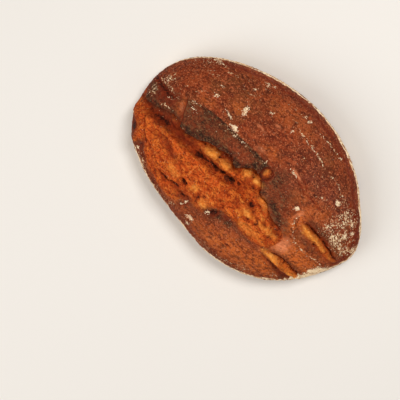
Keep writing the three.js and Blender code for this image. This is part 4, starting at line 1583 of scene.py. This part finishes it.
@dataclass
class CrustGrain:
    """The finest relief that the mesh holds: grain all over, pores in the crumb, blisters on the crust."""

    grain_size: float = 2.6  # millimetres, as all of these
    grain_height: float = 0.22
    crumb_size: float = 3.2
    crumb_height: float = 0.55
    pore_size: float = 3.4
    pore_depth: float = 0.7
    blister_size: float = 3.0
    blister_height: float = 0.3
    base_clear: float = 6.0  # the flat base stays smooth up to here
    bump_foot: float = 0.5  # how far out a pore or blister ends, as a share of its size
    bump_top: float = 0.1  # and how far out it is still whole

    def grow(self, plain: bpy.types.Object, material: bpy.types.Material) -> bpy.types.Object:
        """Raise the grain.

        Args:
            plain: The loaf without it.
            material: The loaf's material.

        Returns:
            The finished loaf.
        """
        tree = SurfaceTree("crust_grain", {
            "Grain Size": self.grain_size * MM, "Grain Height": self.grain_height * MM,
            "Crumb Size": self.crumb_size * MM, "Crumb Height": self.crumb_height * MM,
            "Pore Size": self.pore_size * MM, "Pore Depth": self.pore_depth * MM,
            "Blister Size": self.blister_size * MM, "Blister Height": self.blister_height * MM,
            "Base Clear": self.base_clear * MM,
        })
        torn = tree.layer(Paint.TORN)
        whole = tree.maths("SUBTRACT", 1.0, torn)
        grain = self._waves(tree, "Grain")
        crumb = tree.maths("MULTIPLY", self._waves(tree, "Crumb"), torn)
        pores = tree.maths("MULTIPLY", self._cells(tree, "Pore", "Depth"), torn)
        blisters = tree.maths("MULTIPLY", self._cells(tree, "Blister", "Height"), whole)
        rise = tree.maths("SUBTRACT", tree.maths("ADD", grain, crumb), pores)
        rise = tree.maths("ADD", rise, blisters)
        place = add_node(tree.tree, "GeometryNodeInputPosition").outputs["Position"]
        height = add_node(tree.tree, "ShaderNodeSeparateXYZ", {"Vector": place}).outputs["Z"]
        clear = add_node(tree.tree, "ShaderNodeMapRange", {
            "Value": height, "From Min": 0.0, "From Max": tree.inputs["Base Clear"]},
            interpolation_type="SMOOTHSTEP")
        rise = tree.maths("MULTIPLY", rise, clear.outputs["Result"])
        outward = add_node(tree.tree, "GeometryNodeInputNormal").outputs["Normal"]
        offset = add_node(tree.tree, "ShaderNodeVectorMath", {0: outward, "Scale": rise}, operation="SCALE")
        moved = add_node(tree.tree, "GeometryNodeSetPosition", {
            "Geometry": tree.inputs["Geometry"], "Offset": offset.outputs["Vector"]})
        tree.close(moved.outputs["Geometry"], material)
        return tree.run(plain, "baked_loaf")

    @staticmethod
    def _waves(tree: SurfaceTree, name: str) -> bpy.types.NodeSocket:
        """Add waves, half of them above the surface and half below.

        Args:
            tree: The tree.
            name: Whose size and height they have, as its inputs are named.

        Returns:
            Their height.
        """
        scale = tree.maths("DIVIDE", 1.0, tree.inputs[f"{name} Size"])
        noise = add_node(tree.tree, "ShaderNodeTexNoise", {"Scale": scale, "Detail": 1.0})
        centred = tree.maths("MULTIPLY_ADD", noise.outputs["Fac"], 2.0, -1.0)
        return tree.maths("MULTIPLY", centred, tree.inputs[f"{name} Height"])

    def _cells(self, tree: SurfaceTree, name: str, reach: str) -> bpy.types.NodeSocket:
        """Add round bumps, one in each cell.

        Args:
            tree: The tree.
            name: Whose size they have, as its inputs are named.
            reach: The name of the input that says how high they are.

        Returns:
            Their height.
        """
        scale = tree.maths("DIVIDE", 1.0, tree.inputs[f"{name} Size"])
        cells = add_node(tree.tree, "ShaderNodeTexVoronoi", {"Scale": scale})
        bump = add_node(tree.tree, "ShaderNodeMapRange", {
            "Value": cells.outputs["Distance"], "From Min": self.bump_foot, "From Max": self.bump_top},
            interpolation_type="SMOOTHSTEP")
        return tree.maths("MULTIPLY", bump.outputs["Result"], tree.inputs[f"{name} {reach}"])


@dataclass
class LooseFlour:
    """Flour that lies on the crust in clumps, thick enough to stand up from it."""

    spacing: float = 0.8  # millimetres, as the next three
    smallest: float = 0.2
    largest: float = 0.65
    raggedness: float = 0.25
    flatness: float = 0.55  # height, as a share of the width
    drawn_out: float = 1.25  # length, as a share of the width
    sparse: float = 0.2  # paint thinner than this gets no clumps
    dense: float = 0.9  # and paint thicker than this gets all of them
    rounding: int = 1  # once-split triangles are enough for a clump this small

    def scatter(self, loaf: bpy.types.Object, material: bpy.types.Material) -> bpy.types.Object:
        """Scatter the clumps where the paint says.

        Args:
            loaf: The finished loaf.
            material: The flour's material.

        Returns:
            All the clumps as one piece.
        """
        tree = SurfaceTree("loose_flour", {
            "Clumps per Square Metre": 1 / (self.spacing * MM) ** 2, "Smallest": self.smallest * MM,
            "Largest": self.largest * MM, "Flatness": self.flatness, "Drawn Out": self.drawn_out,
            "Raggedness": self.raggedness * MM, "Sparse": self.sparse, "Dense": self.dense, "Seed": SEED,
        })
        cover = add_node(tree.tree, "ShaderNodeMapRange", {
            "Value": tree.layer(Paint.CLUMPS), "From Min": tree.inputs["Sparse"],
            "From Max": tree.inputs["Dense"]})
        density = tree.maths("MULTIPLY", cover.outputs["Result"], tree.inputs["Clumps per Square Metre"])
        points = add_node(tree.tree, "GeometryNodeDistributePointsOnFaces", {
            "Mesh": tree.inputs["Geometry"], "Density": density, "Seed": tree.inputs["Seed"]})
        drawn = add_node(tree.tree, "FunctionNodeRandomValue", {
            2: tree.inputs["Smallest"], 3: tree.inputs["Largest"], "Seed": tree.inputs["Seed"]},
            data_type="FLOAT")
        size = drawn.outputs[1]
        long = tree.maths("MULTIPLY", size, tree.inputs["Drawn Out"])
        high = tree.maths("MULTIPLY", size, tree.inputs["Flatness"])
        scale = add_node(tree.tree, "ShaderNodeCombineXYZ", {"X": long, "Y": size, "Z": high})
        ball = add_node(tree.tree, "GeometryNodeMeshIcoSphere", {
            "Radius": 1.0, "Subdivisions": self.rounding})
        clumps = add_node(tree.tree, "GeometryNodeInstanceOnPoints", {
            "Points": points.outputs["Points"], "Instance": ball.outputs["Mesh"],
            "Rotation": points.outputs["Rotation"], "Scale": scale.outputs["Vector"]})
        solid = add_node(tree.tree, "GeometryNodeRealizeInstances", {
            "Geometry": clumps.outputs["Instances"]})
        lumps = add_node(tree.tree, "ShaderNodeTexNoise", {
            "Scale": tree.maths("DIVIDE", 1.0, tree.inputs["Largest"])})
        centred = add_node(tree.tree, "ShaderNodeVectorMath", {
            0: lumps.outputs["Color"], 1: (0.5, 0.5, 0.5)}, operation="SUBTRACT")  # noise is centred on 0.5
        push = add_node(tree.tree, "ShaderNodeVectorMath", {
            0: centred.outputs["Vector"], "Scale": tree.inputs["Raggedness"]}, operation="SCALE")
        ragged = add_node(tree.tree, "GeometryNodeSetPosition", {
            "Geometry": solid.outputs["Geometry"], "Offset": push.outputs["Vector"]})
        tree.close(ragged.outputs["Geometry"], material)
        return tree.run(loaf, "flour_clumps")


# ---------------------------------------------------------------------------------------------------------
# Studio


@dataclass
class Studio:
    """A pale floor, one large soft light, a weak fill, and the camera nearly overhead."""

    floor_size: float = 8.0  # metres, as the rest
    floor_drop: float = 0.0003
    floor_colour: str = "#dedad4"
    floor_roughness: float = 0.9
    key_place: tuple[float, float, float] = (0.15, 0.75, 1.5)
    key_size: float = 0.55
    key_power: float = 17.5
    fill_place: tuple[float, float, float] = (-0.5, -1.1, 1.3)
    fill_size: float = 1.4
    fill_power: float = 15.5
    sky: str = "#fff8f0"
    sky_strength: float = 0.38
    camera_place: tuple[float, float, float] = (0.051, 0.1836, 1.215)
    camera_aim: tuple[float, float, float] = (-0.0178, -0.0623, 0.015)
    camera_roll: float = 42.0  # degrees that the loaf is turned in the view
    lens: float = 100.0  # millimetres, as the sensor
    sensor: float = 36.0

    def build(self) -> None:
        """Build the floor, the lights and the camera."""
        self._floor()
        self._light("key_light", self.key_place, self.key_size, self.key_power)
        self._light("fill_light", self.fill_place, self.fill_size, self.fill_power)
        world = bpy.data.worlds.new("studio")
        world.use_nodes = True
        background = world.node_tree.nodes["Background"].inputs
        background["Color"].default_value = linear(self.sky)
        background["Strength"].default_value = self.sky_strength
        scene = bpy.context.scene
        scene.world = world
        scene.view_settings.view_transform = "Standard"
        scene.camera = self._camera()

    def _floor(self) -> None:
        """Lay the floor just under the loaf."""
        half = self.floor_size / 2
        mesh = bpy.data.meshes.new("floor")
        corners = [(x * half, y * half, -self.floor_drop) for x, y in ((-1, -1), (1, -1), (1, 1), (-1, 1))]
        mesh.from_pydata(corners, [], [(0, 1, 2, 3)])
        material = bpy.data.materials.new("matt_white_card")
        material.use_nodes = True
        shader = material.node_tree.nodes["Principled BSDF"]
        shader.inputs["Base Color"].default_value = linear(self.floor_colour)
        shader.inputs["Roughness"].default_value = self.floor_roughness
        mesh.materials.append(material)
        floor = bpy.data.objects.new("floor", mesh)
        bpy.context.scene.collection.objects.link(floor)

    @staticmethod
    def _light(name: str, place: tuple[float, float, float], size: float, power: float) -> None:
        """Hang one soft light, turned to the loaf.

        Args:
            name: What it is called.
            place: Where it hangs.
            size: Across, in metres.
            power: In watts.
        """
        light = bpy.data.lights.new(name, "AREA")
        light.shape = "DISK"
        light.size = size
        light.energy = power
        lamp = bpy.data.objects.new(name, light)
        lamp.location = place
        lamp.rotation_euler = (-Vector(place)).to_track_quat("-Z", "Y").to_euler()
        bpy.context.scene.collection.objects.link(lamp)

    def _camera(self) -> bpy.types.Object:
        """Set up the camera.

        Returns:
            The camera.
        """
        back = (Vector(self.camera_place) - Vector(self.camera_aim)).normalized()
        turn = math.radians(self.camera_roll)
        right = Vector((-math.sin(turn), math.cos(turn), 0)).cross(back).normalized()
        axes = Matrix((right, back.cross(right), back)).transposed().to_4x4()
        lens = bpy.data.cameras.new("camera")
        lens.lens = self.lens
        lens.sensor_width = self.sensor
        camera = bpy.data.objects.new("camera", lens)
        camera.matrix_world = Matrix.Translation(self.camera_place) @ axes
        bpy.context.scene.collection.objects.link(camera)
        return camera


# ---------------------------------------------------------------------------------------------------------
# The loaf


SHORT_SLASHES = (
    ShortSlash(start=(80, 5.5), end=(140, -9), half_width=6.4, depth=5.4, edge_rise=2, ridge_rise=4.4,
               ridge_at=-0.18, lower_step=1.6, belly=0.45),
    ShortSlash(start=(71, -44), end=(124, -48.5), half_width=7.2, depth=4.4, edge_rise=0.9, ridge_rise=4.8,
               ridge_at=-0.3, lower_step=1.6, belly=0.5),
)


def plain_loaf(skin: Skin) -> bpy.types.Object:
    """Make an object of the shaped skin.

    Args:
        skin: The skin with its features.

    Returns:
        The object, with the paint kept on its vertices.
    """
    place = skin.place + skin.normal * skin.lift[:, None]
    place[:, 1] -= skin.slide
    place[:, 2] = np.maximum(place[:, 2], 0.0)
    mesh = bpy.data.meshes.new("plain_loaf")
    mesh.from_pydata((place * MM).tolist(), [], skin.quads.tolist() + skin.triangles.tolist())
    mesh.update()
    for layer, cover in skin.paint.items():
        kept = mesh.attributes.new(layer.value, "FLOAT", "POINT")
        kept.data.foreach_set("value", np.clip(cover, 0, 1).astype(np.float32))
    loaf = bpy.data.objects.new("plain_loaf", mesh)
    bpy.context.scene.collection.objects.link(loaf)
    return loaf


def report(piece: bpy.types.Object) -> None:
    """Say how large a piece is.

    Args:
        piece: The finished piece.
    """
    triangles = sum(len(face.vertices) - 2 for face in piece.data.polygons)
    LOG.info("%s: %d triangles, %s mm", piece.name, triangles,
             " x ".join(f"{side / MM:.1f}" for side in piece.dimensions))


def main() -> None:
    """Build the loaf, its flour and the studio."""
    logging.basicConfig(level=logging.INFO, format="%(name)s: %(message)s")
    low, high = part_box("loaf")
    size = (high - low) / MM
    skin = LoafForm(length=size.x, width=size.y, height=size.z).skin()
    noise = Noise(SEED)
    for feature in (LongSlash(), *SHORT_SLASHES, HandMarks(), OvenTexture(), OvenMarks()):
        feature.shape(skin, noise)
    plain = plain_loaf(skin)
    loaf = CrustGrain().grow(plain, LoafFinish().build())
    bpy.data.objects.remove(plain)
    flour = LooseFlour().scatter(loaf, LooseFlourFinish().build())
    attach(loaf, "root")
    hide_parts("loaf")
    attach(flour, "root")
    report(loaf)
    report(flour)
    Studio().build()


if __name__ == "__main__":
    main()
